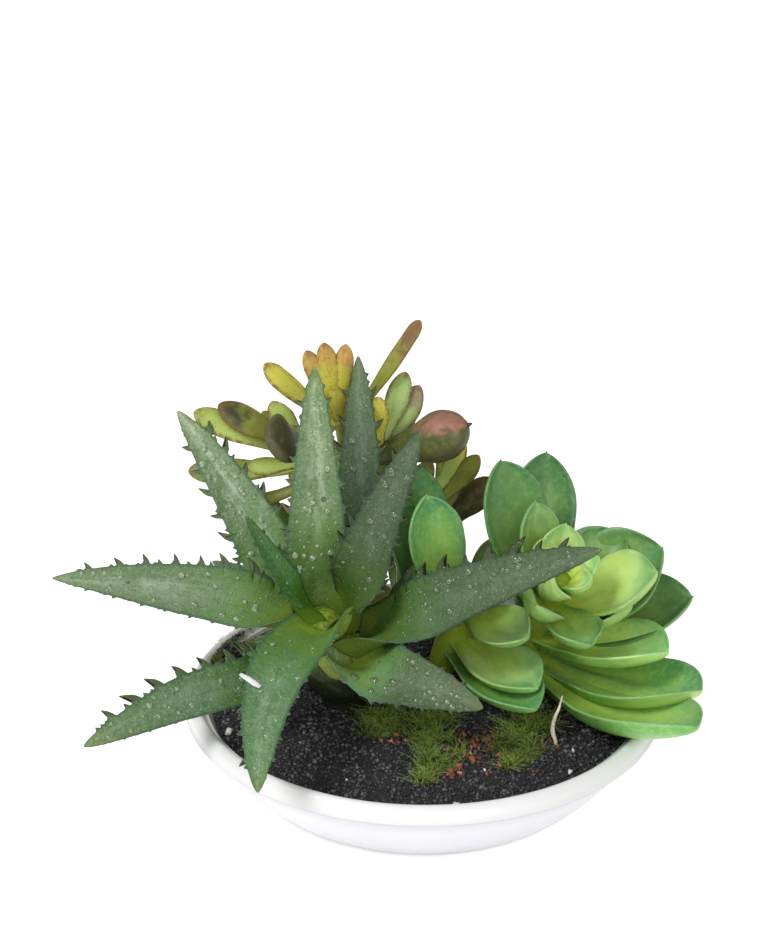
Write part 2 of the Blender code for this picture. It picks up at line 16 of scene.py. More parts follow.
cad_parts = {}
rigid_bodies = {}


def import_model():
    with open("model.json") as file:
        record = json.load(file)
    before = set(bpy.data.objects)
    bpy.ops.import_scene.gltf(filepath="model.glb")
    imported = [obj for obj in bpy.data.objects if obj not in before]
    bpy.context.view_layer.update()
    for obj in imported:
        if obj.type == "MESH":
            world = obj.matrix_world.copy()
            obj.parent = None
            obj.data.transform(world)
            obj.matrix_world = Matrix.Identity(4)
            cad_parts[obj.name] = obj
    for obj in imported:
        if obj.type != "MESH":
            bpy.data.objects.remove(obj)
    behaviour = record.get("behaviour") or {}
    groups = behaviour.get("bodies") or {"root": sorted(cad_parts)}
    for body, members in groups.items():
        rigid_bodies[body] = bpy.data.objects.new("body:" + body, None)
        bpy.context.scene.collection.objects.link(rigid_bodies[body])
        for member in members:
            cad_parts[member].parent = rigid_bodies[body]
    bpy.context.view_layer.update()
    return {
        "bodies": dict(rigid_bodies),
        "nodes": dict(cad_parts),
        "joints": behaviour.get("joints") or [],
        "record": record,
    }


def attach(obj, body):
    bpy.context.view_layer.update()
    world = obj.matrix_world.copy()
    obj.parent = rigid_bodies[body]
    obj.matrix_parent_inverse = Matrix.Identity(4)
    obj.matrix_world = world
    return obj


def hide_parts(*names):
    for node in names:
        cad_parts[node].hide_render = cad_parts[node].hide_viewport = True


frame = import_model()

MM = 0.001
UP = Vector((0, 0, 1))
FRONT = Vector((0, -0.9, 0.4))

# Camera and light; a light has its power, size and place
CAMERA_PLACE = (-17.2, -1049, 621.3)
CAMERA_DROP = 25
CAMERA_LENS = 113.6
KEY_LIGHT = (12, 0.5, (-0.8, -0.5, 1.25))
FILL_LIGHT = (7, 0.7, (0.3, -1.3, 0.7))
SKY_STRENGTH = 0.48
FLOOR_RADIUS = 4
FLOOR_GLOW = 0.5
FLOOR_DROP = -0.0002
LIGHT_AIM = Vector((0, 0, 0.08))

# Bowl
BOWL_STEPS = 144
FOOT_RADIUS = 65
BODY_RADIUS = 91
BODY_HEIGHT = 30
BODY_ROUNDNESS = 1.2
BODY_POINTS = 22
LIP_RADIUS = 95
LIP_HEIGHT = 38
LIP_INNER_RADIUS = 89
FLOOR_THICKNESS = 5
WALL = 4

# The lip from its inner side over its top to the crease: radius and height
LIP_SECTION = (
    (87.5, 33), (89, 36.5), (90.2, 37.9), (91.8, 38), (93.8, 36.4), (95.1, 33.5), (95.5, 31.4),
    (94.3, 30.2), (91.6, 30.2),
)

# Soil and what lies on it
SOIL_EDGE_HEIGHT = 29
SOIL_MOUND = 6
SOIL_RELIEF = 1.1
SOIL_RELIEF_SIZE = 9
SOIL_RADIUS = 86.6
SOIL_RINGS = 60
SOIL_SPOKES = 200
GRAIN_COUNT = 12500
GRAIN_SIZES = (0.4, 0.5, 0.5, 0.6, 0.7, 0.8, 0.9, 1.1)
HOLE_FLOOR = 20.3
STONE_CORNERS = [(x, y, z) for z in (-1, 1) for x, y in ((-1, -1), (1, -1), (1, 1), (-1, 1))]
STONE_FACES = ((0, 3, 2, 1), (4, 5, 6, 7), (0, 1, 5, 4), (1, 2, 6, 5), (2, 3, 7, 6), (3, 0, 4, 7))

# Aloe
ALOE_FOOT = (-31, -3)
ALOE_LEAN = 0.24
ALOE_STEM = (
    (20.3, 9.5), (36.5, 10), (43, 14.5), (51, 15.5), (59, 13), (66, 9.5), (71, 6.5), (74, 3.5),
)
TOOTH_PITCH = 9.6
TOOTH_BASE = 3.4
TOOTH_HEIGHT = 5
STATION_PITCH = 0.5

# Places across a leaf's face from -1 to 1, and the side and face of each point round its section:
# along the upper face, the right margin, back along the lower face and the left margin
LEAF_COLUMNS = 14
LEAF_ACROSS = [2 * j / LEAF_COLUMNS - 1 for j in range(LEAF_COLUMNS + 1)]
LEAF_MARKS = [(u, 1) for u in LEAF_ACROSS] + [(1, 0.5)]
LEAF_MARKS += [(u, 0) for u in reversed(LEAF_ACROSS)] + [(-1, 0.5)]

# Rings and sides of a finger leaf
FINGER_STATIONS = 22
FINGER_SIDES = 20

# Radii of the water drops, and the width and height of a drop's rings as shares of its radius
DROP_SIZES = (0.25, 0.3, 0.35, 0.4, 0.4, 0.5, 0.5, 0.6, 0.8, 1.1, 1.5)
DROP_PROFILE = ((1, -0.06), (0.94, 0.1), (0.8, 0.23), (0.58, 0.35), (0.3, 0.43), (0.08, 0.45))

# Each aloe leaf: root angle, root height and distance from the stem, tip, bow of the middle, face,
# width, thickness, and the width of the base that clasps the crown, as a share of the leaf's own
ALOE_LEAVES = dict(
    left=(180, 66, 0, (-148, 15, 79), (0, -3, 14), (0, -0.85, 0.5), 34, 5.5, 0.5),
    low_left=(218, 57, 0, (-129, -70, 51), (0, 0, 8), (0, -0.85, 0.5), 29, 5, 0.4),
    front=(274, 70, 2.8, (-62, -105, 52), (-16, 0, 14), (0, 0, 1), 33, 5.5, 0.8),
    low_right=(290, 57, 2.9, (22, -55, 59), (2, -8, 7), (0, -0.7, 0.7), 32, 5, 1),
    right=(-18, 62, 2, (67, -32, 115), (0, -4, 11), (-0.1, -0.85, 0.55), 30, 5, 0.9),
    upper_right=(-6, 70, 2.2, (-1, -5, 153), (-5, 0, 0), (-0.4, -0.9, 0.2), 28, 5, 0.8),
    top=(108, 70, 1.5, (-43, 35, 162), (0, 0, 0), (0, -0.9, 0.4), 30, 5, 0.8),
    top_back=(66, 61, 1.5, (-26, 58, 157), (6, 8, 0), (0.1, -0.9, 0.4), 28, 5, 0.65),
    upper_left=(138, 60, 0.8, (-98, 42, 140), (0, 20, 0), (0.3, -0.8, 0.5), 31, 5, 0.65),
    inner=(208, 73, 0.6, (-69, -15, 121), (-3, 0, 2), (0.6, -0.6, 0.4), 15, 4, 0.65),
    back=(125, 52, 0.3, (-88, 84, 52), (0, 0, 10), (0, 0, 1), 28, 5, 0.65),
)

# The size of the teeth on its two margins as a share of the full one, how its colour departs from
# the common one at the tip and at the root, how frosted it is, its drops, how fast it narrows
# towards its tip, and its width near the root as a share and its move across there
ALOE_LOOKS = dict(
    left=((0.2, 0.95), (1.1, 1.05, 1), (1.35, 1.25, 1.7), 0.75, 80, 0.72, 0.87, 1.6),
    low_left=((0.1, 1.35), (1.05, 1.05, 1), (0.95, 0.95, 1), 0.5, 60, 0.6, 0.76, -2.8),
    front=((0.3, 0.6), (1.08, 1.22, 1.1), (1.15, 1.2, 1.5), 0.6, 70, 0.6, 1, 0),
    # low_right's root tint is partly its root's own yellower colour and partly painted light, which
    # brightens the root where the right leaf shades it
    low_right=((0.3, 0.45), (0.75, 0.7, 0.62), (2.2, 2, 3.4), 0.4, 80, 0.6, 1, 0),
    right=((1.15, 0.15), (0.62, 0.62, 0.57), (0.9, 0.9, 1.05), 0.45, 100, 0.6, 1, 0),
    upper_right=((0.75, 0.6), (0.58, 0.55, 0.53), (0.6, 0.62, 0.6), 0.5, 80, 0.6, 1, 0),
    top=((0.75, 0.65), (1.3, 1.22, 1.12), (0.5, 0.62, 0.38), 1, 90, 0.6, 1, 0),
    top_back=((0.75, 0.9), (0.9, 0.85, 0.85), (0.6, 0.6, 0.5), 0.6, 90, 0.6, 1, 0),
    upper_left=((0.85, 0.95), (1.7, 1.55, 1.6), (2.3, 2.1, 2.5), 1, 90, 0.6, 1, 0),
    inner=((0.4, 0.4), (0.7, 0.95, 0.6), (0.7, 0.95, 0.6), 0.15, 16, 0.6, 1, 0),
    back=((0.6, 0.6), (0.9, 0.95, 0.85), (0.9, 0.95, 0.85), 0.4, 30, 0.6, 1, 0),
)

# Echeverias: stem foot, tilt, its direction, and the stem's length and radius
RIGHT_ROSETTE = ((36, 26), 30, -50, 60, 6.5)
LEFT_ROSETTE = ((8, 22), 25, -60, 48, 6)
ROSETTE_EDGE = 0.6
ROSETTE_ROUNDNESS = 0.5
ROSETTE_CUP = 0.42
ROSETTE_THICKNESS = 5.5
ROSETTE_STATIONS = 30

# Each rosette leaf: azimuth, rise, length, height of the root up the stem, width, sag, how far its
# face turns to the front, brightness, how young it looks from 0 to 1, and lime on its belly. The
# brightness is partly the leaf's own tone and partly painted light: it lifts leaves that lie in
# shade and darkens leaves that face the lamps.
RIGHT_LEAVES = (
    (-37, 35, 86, 16, 35, 0.25, -0.05, 1.35, 0.15, 1),
    (-55, 35, 105, 16.5, 38, 0.25, 0, 1.3, 0.4, 0),
    (-29, 36, 62, 25, 32, 0.16, -0.1, 1.8, 0.6, 0.8), (7, 38, 69, 20, 32, 0.14, 0, 0.8, 0.3, 0.3),
    (-70, 25, 37, 46, 21, 0.14, 0.35, 1.2, 0.35, 0.3),
    (130, 36, 64, 36, 30, 0.16, 0.1, 0.95, 0.15, 0.3),
    (101, 35, 73, 24, 29, 0.16, 0.1, 0.88, 0.1, 0.3), (28, 44, 59, 30, 38, 0.2, 0, 1, 0.3, 0.4),
    (51, 34, 45, 38, 27, 0.18, 0, 1, 0.25, 0.2), (0, 49, 49, 41, 30, 0.2, 0, 1.25, 0.85, 0.8),
    (-16, 45, 40, 36, 28, 0.2, 0, 1.1, 0.75, 0.8), (125, 43, 41, 44, 18, 0.18, 0.1, 1.1, 0.6, 0.5),
    (101, 47, 28, 50, 18, 0.18, 0.1, 1.3, 0.9, 1), (-49, 63, 20, 56, 14, 0.2, 0.2, 1.35, 1, 1),
    (21, 60, 20, 56, 14, 0.2, 0, 1.35, 1, 1), (165, 55, 26, 52, 16, 0.2, 0, 1.35, 1, 1),
    (-125, 55, 26, 52, 16, 0.2, 0.3, 1.35, 1, 1), (61, 23, 51, 20, 32, 0.14, 0, 0.9, 0.1, 0.2),
    (175, 40, 26, 42, 18, 0.16, 0, 1, 0.5, 0.6), (-120, 40, 32, 44, 20, 0.16, 0.3, 1.1, 0.6, 0.6),
)
LEFT_LEAVES = (
    (-54, 24, 54, 22, 25, 0.12, 0.25, 1.25, 0.6, 0.5),
    (-60, 26, 64, 15, 26, 0.1, 0.2, 1.3, 0.1, 0.3),
    (-50, 29, 39, 38, 21, 0.14, 0.4, 1.15, 0.7, 0.5),
    (131, 50, 55, 28, 24, 0.16, 0.2, 1.5, 0.15, 0.3),
    (139, 42, 61, 20, 22, 0.14, 0.1, 0.55, 0.1, 0), (120, 38, 71, 20, 22, 0.14, 0, 0.8, 0.1, 0),
    (96, 46, 22, 32, 16, 0.16, 0, 0.9, 0.3, 0.3), (-175, 36, 34, 30, 22, 0.16, 0, 0.9, 0.3, 0.3),
    (-110, 50, 24, 40, 16, 0.18, 0, 1, 0.5, 0.5), (150, 66, 15, 42, 12, 0.2, 0, 1, 0.9, 1),
    (20, 62, 20, 42, 14, 0.2, 0, 1, 0.9, 1), (-40, 60, 20, 43, 13, 0.2, 0, 1, 0.9, 1),
)

# Named leaf colours of the jade stems
LIME = (0.4, 0.5, 0.11)
YELLOW = (0.62, 0.58, 0.08)
PALE = (0.34, 0.48, 0.15)
GREEN = (0.15, 0.3, 0.07)
OLIVE = (0.2, 0.22, 0.035)
DARK = (0.045, 0.048, 0.014)
MOSSY = (0.26, 0.29, 0.04)
ORANGE = (0.64, 0.36, 0.09)
BROWN = (0.2, 0.11, 0.045)
ROSE = (0.33, 0.135, 0.105)
BUD = (0.07, 0.088, 0.02)
MAUVE = (0.26, 0.2, 0.12)

# Jade stems: the points from the foot up
JADE_RADIUS = 2.6
JADE_STEMS = dict(
    left=((-44, 46, 20.3), (-44, 46, 60), (-45, 50, 95), (-46, 50, 120)),
    top=((-26, 64, 20.3), (-26, 64, 60), (-30, 66, 100), (-34, 66, 125)),
    middle=((-8, 62, 20.3), (-8, 62, 60), (-13, 60, 90), (-18, 58, 115)),
    right=((16, 58, 20.3), (16, 58, 50), (10, 56, 76), (4, 55, 96)),
)

# Each finger leaf: its root along the stem, tip, width, and the colours of its body and its end
JADE_LEAVES = dict(
    left=(
        (0.95, -92, 48, 137, 11, LIME, LIME), (1, -82, 46, 141, 12, OLIVE, DARK),
        (1, -61, 26, 139, 22, DARK, DARK), (1, -61, 54, 139, 10, LIME, LIME),
        (0.95, -65, 60, 132, 8, LIME, OLIVE), (0.9, -72, 50, 112, 8, LIME, LIME),
        (0.85, -95, 50, 110, 11, LIME, GREEN), (0.7, -82, 52, 90, 8, OLIVE, BROWN),
        (0.98, -62, 76, 129, 10, LIME, OLIVE), (0.8, -60, 84, 114, 10, LIME, GREEN),
        (0.7, -30, 56, 104, 9, LIME, OLIVE), (0.35, -52, 79, 103, 10, LIME, OLIVE),
        (0.15, -66, 64, 92, 10, GREEN, OLIVE), (-0.05, -40, 72, 78, 9, GREEN, OLIVE),
    ),
    top=(
        (0.95, -64, 62, 152, 9, YELLOW, YELLOW), (1, -47, 64, 157, 8, YELLOW, ORANGE),
        (1, -40, 65, 160, 9, YELLOW, ORANGE), (1, -31, 66, 159, 8, YELLOW, ORANGE),
        (1, -35, 60, 143, 9, YELLOW, YELLOW), (0.88, -1, 62, 171, 6.5, MOSSY, BROWN),
        (0.95, -26, 84, 140, 9, LIME, YELLOW), (0.9, -40, 90, 146, 9, LIME, ORANGE),
        (0.8, -22, 94, 128, 10, LIME, OLIVE), (0.45, -46, 90, 112, 10, LIME, OLIVE),
        (0.3, -18, 90, 104, 10, LIME, BROWN), (0.1, -42, 86, 90, 10, GREEN, OLIVE),
        (-0.1, -20, 86, 76, 9, GREEN, OLIVE), (-0.28, -38, 84, 62, 9, GREEN, BROWN),
    ),
    middle=(
        (1, -6.6, 68, 146, 10, PALE, PALE), (0.95, -1, 68, 140, 11, PALE, MAUVE),
        (1, -18, 52, 142, 9, YELLOW, YELLOW), (0.97, 18, 44, 133, 21.5, BUD, ROSE),
        (0.95, -4, 84, 124, 10, LIME, OLIVE), (0.8, 14, 78, 118, 10, LIME, OLIVE),
        (0.75, -6, 92, 112, 10, LIME, BROWN), (0.35, 4, 86, 98, 10, LIME, OLIVE),
        (0.1, -4, 88, 82, 10, GREEN, OLIVE), (-0.1, 8, 82, 72, 9, GREEN, OLIVE),
        (-0.3, -10, 84, 60, 9, GREEN, BROWN), (-0.3, -20, 81, 43, 11, OLIVE, DARK),
    ),
    right=(
        (1, 17, 57, 120, 8.5, LIME, YELLOW), (0.9, 23, 52, 116, 9, OLIVE, MOSSY),
        (0.65, 28, 54, 105, 13, DARK, BROWN), (0.85, 28, 76, 92, 11, OLIVE, BROWN),
        (0.9, 14, 80, 112, 10, LIME, OLIVE), (0.7, 28, 88, 84, 10, GREEN, OLIVE),
        (0.2, 12, 82, 80, 10, GREEN, OLIVE), (0, 32, 78, 66, 9, GREEN, OLIVE),
        (-0.15, 14, 82, 58, 9, GREEN, BROWN),
    ),
)

# Moss tufts: centre and radius
MOSS_TUFTS = ((-17, -27, 9), (1, -36, 9), (4, -54, 8), (37, -40, 11), (-68, 26, 9))
MOSS_HEIGHT = 7
MOSS_SPRAYS_PER_MM = 3.2
MOSS_THREADS = 12
MOSS_THREAD_RADIUS = 0.2
CUSHION_SIDES = 28
RIM_MOSS_COUNT = 260

# Looser threads between and behind the tufts: centre, spread, count and height
MOSS_WISPS = (
    (-14, -19, 5, 170, 11), (-3, -24, 5, 90, 10), (6, -24, 5, 110, 10), (8, -36, 4, 60, 9),
    (0, -64, 4, 110, 8), (13, -47, 4, 60, 8), (38, -28, 6, 170, 11), (46, -24, 6, 140, 11),
    (33, -52, 3.5, 90, 8), (-88, 12, 3, 40, 3),
)
MOSS_BROWN = (1.35, 0.95, 0.6)

TWIG_POINTS = (
    (51, -36, 29), (51.3, -36, 33.5), (50.2, -34.5, 37), (50.6, -33, 41), (52.6, -31, 45.5),
    (54, -29, 50),
)
TWIG_RADIUS = 0.85

# Heaps of bark crumbs on the soil: centre, spread, count and largest size
BARK_HEAPS = (
    (21, -38, 8, 42, 1.6), (17, -50, 9, 34, 1.8), (10, -57, 7, 34, 1.8), (-12, -37, 5, 16, 1.6),
    (30, -33, 9, 28, 1.5), (33, -46, 5, 18, 1.8), (47, -36, 5, 20, 1.6), (42, -52, 14, 14, 1),
    (15, -70, 26, 14, 1), (-70, 22, 9, 30, 1.4), (-76, 36, 7, 24, 1.2),
)

# Soil heaped against the lip at the back left: centre, spread, height and number of grains
RIM_HEAP = (-75, 34, 11, 9.5, 1350)

# Moss on that soil: centre and spread
RIM_MOSS = ((-83, 41, 5), (-70, 44, 5), (-83, 25, 4))

# A white sliver across the margin of the front leaf
SLIVER_POINTS = (
    (-70.3, -52.6, 72.6), (-67.3, -54.5, 71.7), (-64.6, -56.2, 70.5), (-62.6, -57.5, 69.7),
)
SLIVER_FACE = Vector((0.28, -0.23, 0.93))

# Flakes of white grit: centre and size
WHITE_FLAKES = (
    (-77, -24, 1.9), (11, -79, 1.6), (56, -54, 1.3), (23, -56, 1), (-66, -44, 1), (-30, -62, 0.7),
    (58, -40, 1.1), (-44, 62, 1.5), (66, 30, 1.3),
)

# The tint of a point that has no colour of its own, and the place of one whose finish doesn't
# read it
WHITE = (1, 1, 1)
PLAIN = (0.5, 0.5, 1, 0.5)


def smoothstep(x):
    x = min(max(x, 0), 1)
    return x * x * (3 - 2 * x)


def lerp(a, b, t):
    return a + (b - a) * t


def bumps(x, y, z):
    """Smooth noise from -1 to 1 at this spot."""
    return noise.noise(Vector((x, y, z)))


def turns(count):
    """The angles of this many even steps round a circle."""
    return [tau * k / count for k in range(count)]


def round_at(angle, radius=1, z=0):
    """A point at this angle and radius from the Z axis."""
    return Vector((cos(angle) * radius, sin(angle) * radius, z))


def placed(name, data):
    """A new object in the scene."""
    made = bpy.data.objects.new(name, data)
    bpy.context.scene.collection.objects.link(made)
    return made


class Piece:
    """Points, faces and paint of one piece, gathered leaf by leaf and then made one mesh.

    Every point carries a place: its share along its leaf, its side from 0 to 1, whether it is on
    the upper face, and a number that is the leaf's own. It also carries a tint and an end tint.
    """

    def __init__(self):
        self.points, self.faces, self.slots = [], [], []
        self.paint = {"place": [], "tint": [], "end": []}

    def add(self, point, place, tint=WHITE, end=WHITE):
        self.points.append(point)
        for kind, color in (("place", place), ("tint", (*tint, 1)), ("end", (*end, 1))):
            self.paint[kind] += color
        return len(self.points) - 1

    def face(self, corners, slot=0):
        self.faces.append(tuple(corners))
        self.slots.append(slot)

    def loft(self, rings, places=None, tint=WHITE, end=WHITE, slot=0):
        """A closed skin through rings of points, with each point's place alongside it."""
        places = places or [[PLAIN] * len(ring) for ring in rings]
        rows = []
        for ring, ring_places in zip(rings, places):
            rows.append([self.add(p, q, tint, end) for p, q in zip(ring, ring_places)])
        for row, row2 in zip(rows, rows[1:]):
            for k in range(len(row)):
                n = (k + 1) % len(row)
                self.face((row[k], row[n], row2[n], row2[k]), slot)
        self.face(reversed(rows[0]), slot)
        self.face(rows[-1], slot)

    def build(self, name, finishes, slot_name, *nodes):
        mesh = bpy.data.meshes.new(name)
        mesh.from_pydata([p * MM for p in self.points], [], self.faces)
        for kind, values in self.paint.items():
            layer = mesh.color_attributes.new(kind, "FLOAT_COLOR", "POINT")
            layer.data.foreach_set("color", values)
        for finish in finishes:
            mesh.materials.append(finish)
        mesh.polygons.foreach_set("material_index", self.slots)
        turn_outwards(mesh)
        mesh.shade_smooth()
        obj = placed(name, mesh)
        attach(obj, "root")
        if nodes:
            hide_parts(*nodes)


def turn_outwards(mesh):
    bm = bmesh.new()
    bm.from_mesh(mesh)
    bmesh.ops.recalc_face_normals(bm, faces=bm.faces)
    bm.to_mesh(mesh)
    bm.free()


# Node trees. A node that reads a socket goes into that socket's tree.


def node(tree, kind, inputs=None, **settings):
    """Adds a node; an input is a number, a colour or another node's socket."""
    made = tree.nodes.new("ShaderNode" + kind)
    for key, value in settings.items():
        setattr(made, key, value)
    for key, value in (inputs or {}).items():
        if isinstance(value, bpy.types.NodeSocket):
            tree.links.new(value, made.inputs[key])
        else:
            made.inputs[key].default_value = value
    return made


def material(name, **sockets):
    """A new material with its Principled shader's own sockets set, and its tree."""
    made = bpy.data.materials.new(name)
    made.use_nodes = True
    shader = made.node_tree.nodes["Principled BSDF"]
    for key, value in sockets.items():
        shader.inputs[key.replace("_", " ")].default_value = value
    return made, made.node_tree


def finished(made, color, rough=None, relief=None, depth=0, strength=0.6):
    """The material with its colour, roughness and relief, which is depth millimetres high."""
    tree = made.node_tree
    inputs = tree.nodes["Principled BSDF"].inputs
    tree.links.new(color, inputs["Base Color"])
    if rough is not None:
        tree.links.new(rough, inputs["Roughness"])
    if relief is not None:
        bump = {"Height": relief, "Distance": depth * MM, "Strength": strength}
        tree.links.new(node(tree, "Bump", bump).outputs[0], inputs["Normal"])
    return made


def tree_of(*values):
    return next(value.id_data for value in values if isinstance(value, bpy.types.NodeSocket))


def math(operation, a, b=0, *more, kind="Math"):
    inputs = dict(enumerate((a, b, *more)))
    return node(tree_of(a, b), kind, inputs, operation=operation).outputs[0]


def times(a, b):
    return math("MULTIPLY", a, b)


def ranged(value, low, high, to_low=0, to_high=1, interpolation="SMOOTHSTEP"):
    """The value's place between low and high, smoothed, as a number from to_low to to_high."""
    inputs = dict(enumerate((value, low, high, to_low, to_high)))
    return node(value.id_data, "MapRange", inputs, interpolation_type=interpolation).outputs[0]


def mixed(share, a, b, blend="MIX"):
    """Colour a turned into b by share; colours are three numbers or sockets."""
    a, b = ((*c, 1) if isinstance(c, tuple) else c for c in (a, b))
    inputs = {0: share, 6: a, 7: b}
    return node(tree_of(share, a, b), "Mix", inputs, data_type="RGBA", blend_type=blend).outputs[2]


def layered(color, *layers):
    """The colour with (share, colour) layers over it, one after the other."""
    for share, over in layers:
        color = mixed(share, color, over)
    return color


def ramp(value, *stops):
    """A colour ramp whose stops are rows of a place and a colour."""
    made = node(value.id_data, "ValToRGB", {"Fac": value})
    elements = made.color_ramp.elements
    while len(elements) < len(stops):
        elements.new(0.5)
    for element, (place, *color) in zip(elements, stops):
        element.position = place
        element.color = (*color, 1)
    return made.outputs["Color"]


def own_place(tree):
    """The object's own coordinates, in metres."""
    return node(tree, "TexCoord").outputs["Object"]


def grain(tree, size, detail=3, rough=0.55, stretch=None):
    """Soft noise whose features are about size millimetres wide."""
    vector = own_place(tree)
    if stretch:
        vector = node(tree, "Mapping", {"Vector": vector, "Scale": stretch}).outputs[0]
    inputs = {"Vector": vector, "Scale": 1 / (size * MM), "Detail": detail, "Roughness": rough}
    return node(tree, "TexNoise", inputs).outputs[0]


def patches(tree, size, low, high, to_low, to_high, detail=3, rough=0.55):
    """Soft patches: the grain's place between low and high, from to_low to to_high."""
    return ranged(grain(tree, size, detail, rough), low, high, to_low, to_high)


def specks(tree, pitch, radius):
    """1 inside scattered dots of this radius, about pitch millimetres apart, and 0 outside."""
    inputs = {"Vector": own_place(tree), "Scale": 1 / (pitch * MM), "Randomness": 1}
    distance = node(tree, "TexVoronoi", inputs).outputs["Distance"]
    return ranged(distance, radius / pitch, radius / pitch * 0.6)


def painted(tree, name):
    return node(tree, "Attribute", attribute_name=name).outputs["Color"]


def tinted(tree, color):
    return mixed(1, color, painted(tree, "tint"), "MULTIPLY")


def place_of(tree):
    """Share along the leaf, distance from its midline from 0 to 1, upper face, leaf's number."""
    found = node(tree, "Attribute", attribute_name="place").outputs
    parts = node(tree, "SeparateColor", {0: found["Color"]}).outputs
    side = times(math("ABSOLUTE", math("SUBTRACT", parts[1], 0.5)), 2)
    return parts[0], side, parts[2], found["Alpha"]


def leaf_grain(tree, spread):
    """Noise that follows each leaf: spread is its scale along, across and through the leaf."""
    own = math("MULTIPLY", own_place(tree), (20, 20, 20), kind="VectorMath")
    spot = math("MULTIPLY_ADD", painted(tree, "place"), spread, own, kind="VectorMath")
    return node(tree, "TexNoise", {"Vector": spot, "Scale": 1, "Detail": 4}).outputs[0]


# Finishes


def glaze_finish():
    """White glaze, faintly lilac, with painted shade in the crease, towards the foot and on the
    flanks.
    """
    made, tree = material("scene_glaze", Roughness=0.32)
    place = node(tree, "SeparateXYZ", {0: own_place(tree)}).outputs
    # Colour by height: the lilac body, with painted shade in the crease under the lip and a painted
    # contact shadow that darkens the body towards the foot
    color = ramp(
        ranged(place[2], 0, 0.04, interpolation="LINEAR"),
        (0, 0.22, 0.21, 0.22), (0.045, 0.44, 0.43, 0.455), (0.16, 0.56, 0.55, 0.58),
        (0.55, 0.62, 0.61, 0.64), (0.7, 0.56, 0.555, 0.58), (0.775, 0.46, 0.455, 0.475),
        (0.8, 0.66, 0.655, 0.66), (0.86, 0.74, 0.74, 0.735),
    )
    far = math("MULTIPLY", own_place(tree), (1, 1, 0), kind="VectorMath")
    reach = node(tree, "VectorMath", {0: far}, operation="LENGTH").outputs["Value"]
    # Painted shade: a grey line on the outer face of the lip at its left and right flanks
    painted_flank_shade = times(ranged(reach, 0.0946, 0.0953), ranged(math("ABSOLUTE", place[0]), 0.078, 0.093))
    color = layered(
        color,
        (times(painted_flank_shade, 0.4), (0.34, 0.34, 0.36)),
        (patches(tree, 14, 0.35, 0.75, 0, 0.05), (0.6, 0.6, 0.61)),
    )
    return finished(made, color, patches(tree, 9, 0.3, 0.7, 0.3, 0.36))


def soil_finish():
    made, tree = material("scene_soil", Roughness=0.9)
    color = ramp(
        grain(tree, 1.1, 4, 0.7),
        (0.35, 0.005, 0.005, 0.005), (0.55, 0.018, 0.017, 0.018), (0.75, 0.07, 0.068, 0.07),
    )
    rough = patches(tree, 2.5, 0.3, 0.7, 0.55, 0.95)
    return finished(made, color, rough, grain(tree, 0.7, 5, 0.7), 0.5, 0.9)


def grit_finish():
    """Grey-black grains; each grain's own number sets how pale and how glossy it is."""
    made, tree = material("scene_grit", Roughness=0.5)
    own = place_of(tree)[3]
    color = ramp(
        own,
        (0, 0.01, 0.01, 0.011), (0.35, 0.024, 0.024, 0.027), (0.75, 0.07, 0.07, 0.078),
        (1, 0.15, 0.15, 0.165),
    )
    color = mixed(patches(tree, 0.6, 0.4, 0.7, 0, 0.5), color, (0.03, 0.03, 0.03))
    return finished(made, color, ranged(own, 0, 1, 0.7, 0.3), grain(tree, 0.35), 0.15, 0.7)


def aloe_finish():
    """Frosted grey-green skin, olive at the root, with darker margins and white flecks."""
    made, tree = material("scene_aloe", Roughness=0.45, Specular_IOR_Level=0.35)
    along, side, upper, frosty = place_of(tree)
    body = ramp(
        math("ADD", along, patches(tree, 12, 0.3, 0.7, -0.07, 0.07)),
        (0, 0.16, 0.23, 0.018), (0.1, 0.105, 0.19, 0.022), (0.32, 0.075, 0.165, 0.032),
        (0.56, 0.075, 0.145, 0.058), (0.92, 0.085, 0.15, 0.055), (1, 0.12, 0.17, 0.05),
    )
    drawn = leaf_grain(tree, (5, 6, 3))
    cloud = ranged(mixed(0.5, grain(tree, 6, 5, 0.65), drawn), 0.38, 0.62)
    band = ranged(side, 0.8, 0, 0.15, 1)
    grown = ranged(along, 0.2, 0.6)
    frost = times(times(times(band, cloud), times(grown, frosty)), 0.8)
    veil = times(patches(tree, 1.3, 0.46, 0.68, 0, 0.55, 5, 0.75), grown)
    color = layered(
        body,
        (frost, (0.3, 0.4, 0.29)),
        (veil, (0.24, 0.32, 0.21)),
        (patches(tree, 2.2, 0.48, 0.32, 0, 0.6, 5, 0.75), (0.035, 0.085, 0.03)),
        (ranged(side, 0.86, 1, 0, 0.65), (0.03, 0.075, 0.04)),
        (ranged(side, 1.02, 1.35, 0, 0.85), (0.075, 0.095, 0.035)),
    )
    rooted = ranged(along, 0.3, 0.1, 0, 0.7)
    under = layered(color, (0.45, (0.09, 0.15, 0.05)), (rooted, (0.2, 0.28, 0.03)))
    # The root tints blend in here; low_right's root tint carries painted light
    tint = mixed(ranged(along, 0.12, 0.5), painted(tree, "end"), painted(tree, "tint"))
    color = mixed(1, mixed(upper, under, color), tint, "MULTIPLY")
    small = times(specks(tree, 1.6, 0.2), ranged(grain(tree, 6), 0.48, 0.62))
    flecks = times(math("MAXIMUM", specks(tree, 4.3, 0.24), small), 0.7)
    color = mixed(flecks, color, (0.62, 0.68, 0.56))
    relief = math("ADD", grain(tree, 2.8, 5, 0.65), grain(tree, 0.8, 2))
    return finished(made, color, ranged(cloud, 0, 1, 0.36, 0.58), relief, 0.45, 0.7)


def drop_finish():
    """The same skin, wet."""
    made, tree = material("scene_drop", Roughness=0.16, Specular_IOR_Level=0.8)
    tone = ranged(grain(tree, 1.2), 0.35, 0.65)
    color = tinted(tree, mixed(tone, (0.09, 0.16, 0.075), (0.2, 0.28, 0.17)))
    return finished(made, color, None, grain(tree, 0.8), 0.05, 0.4)


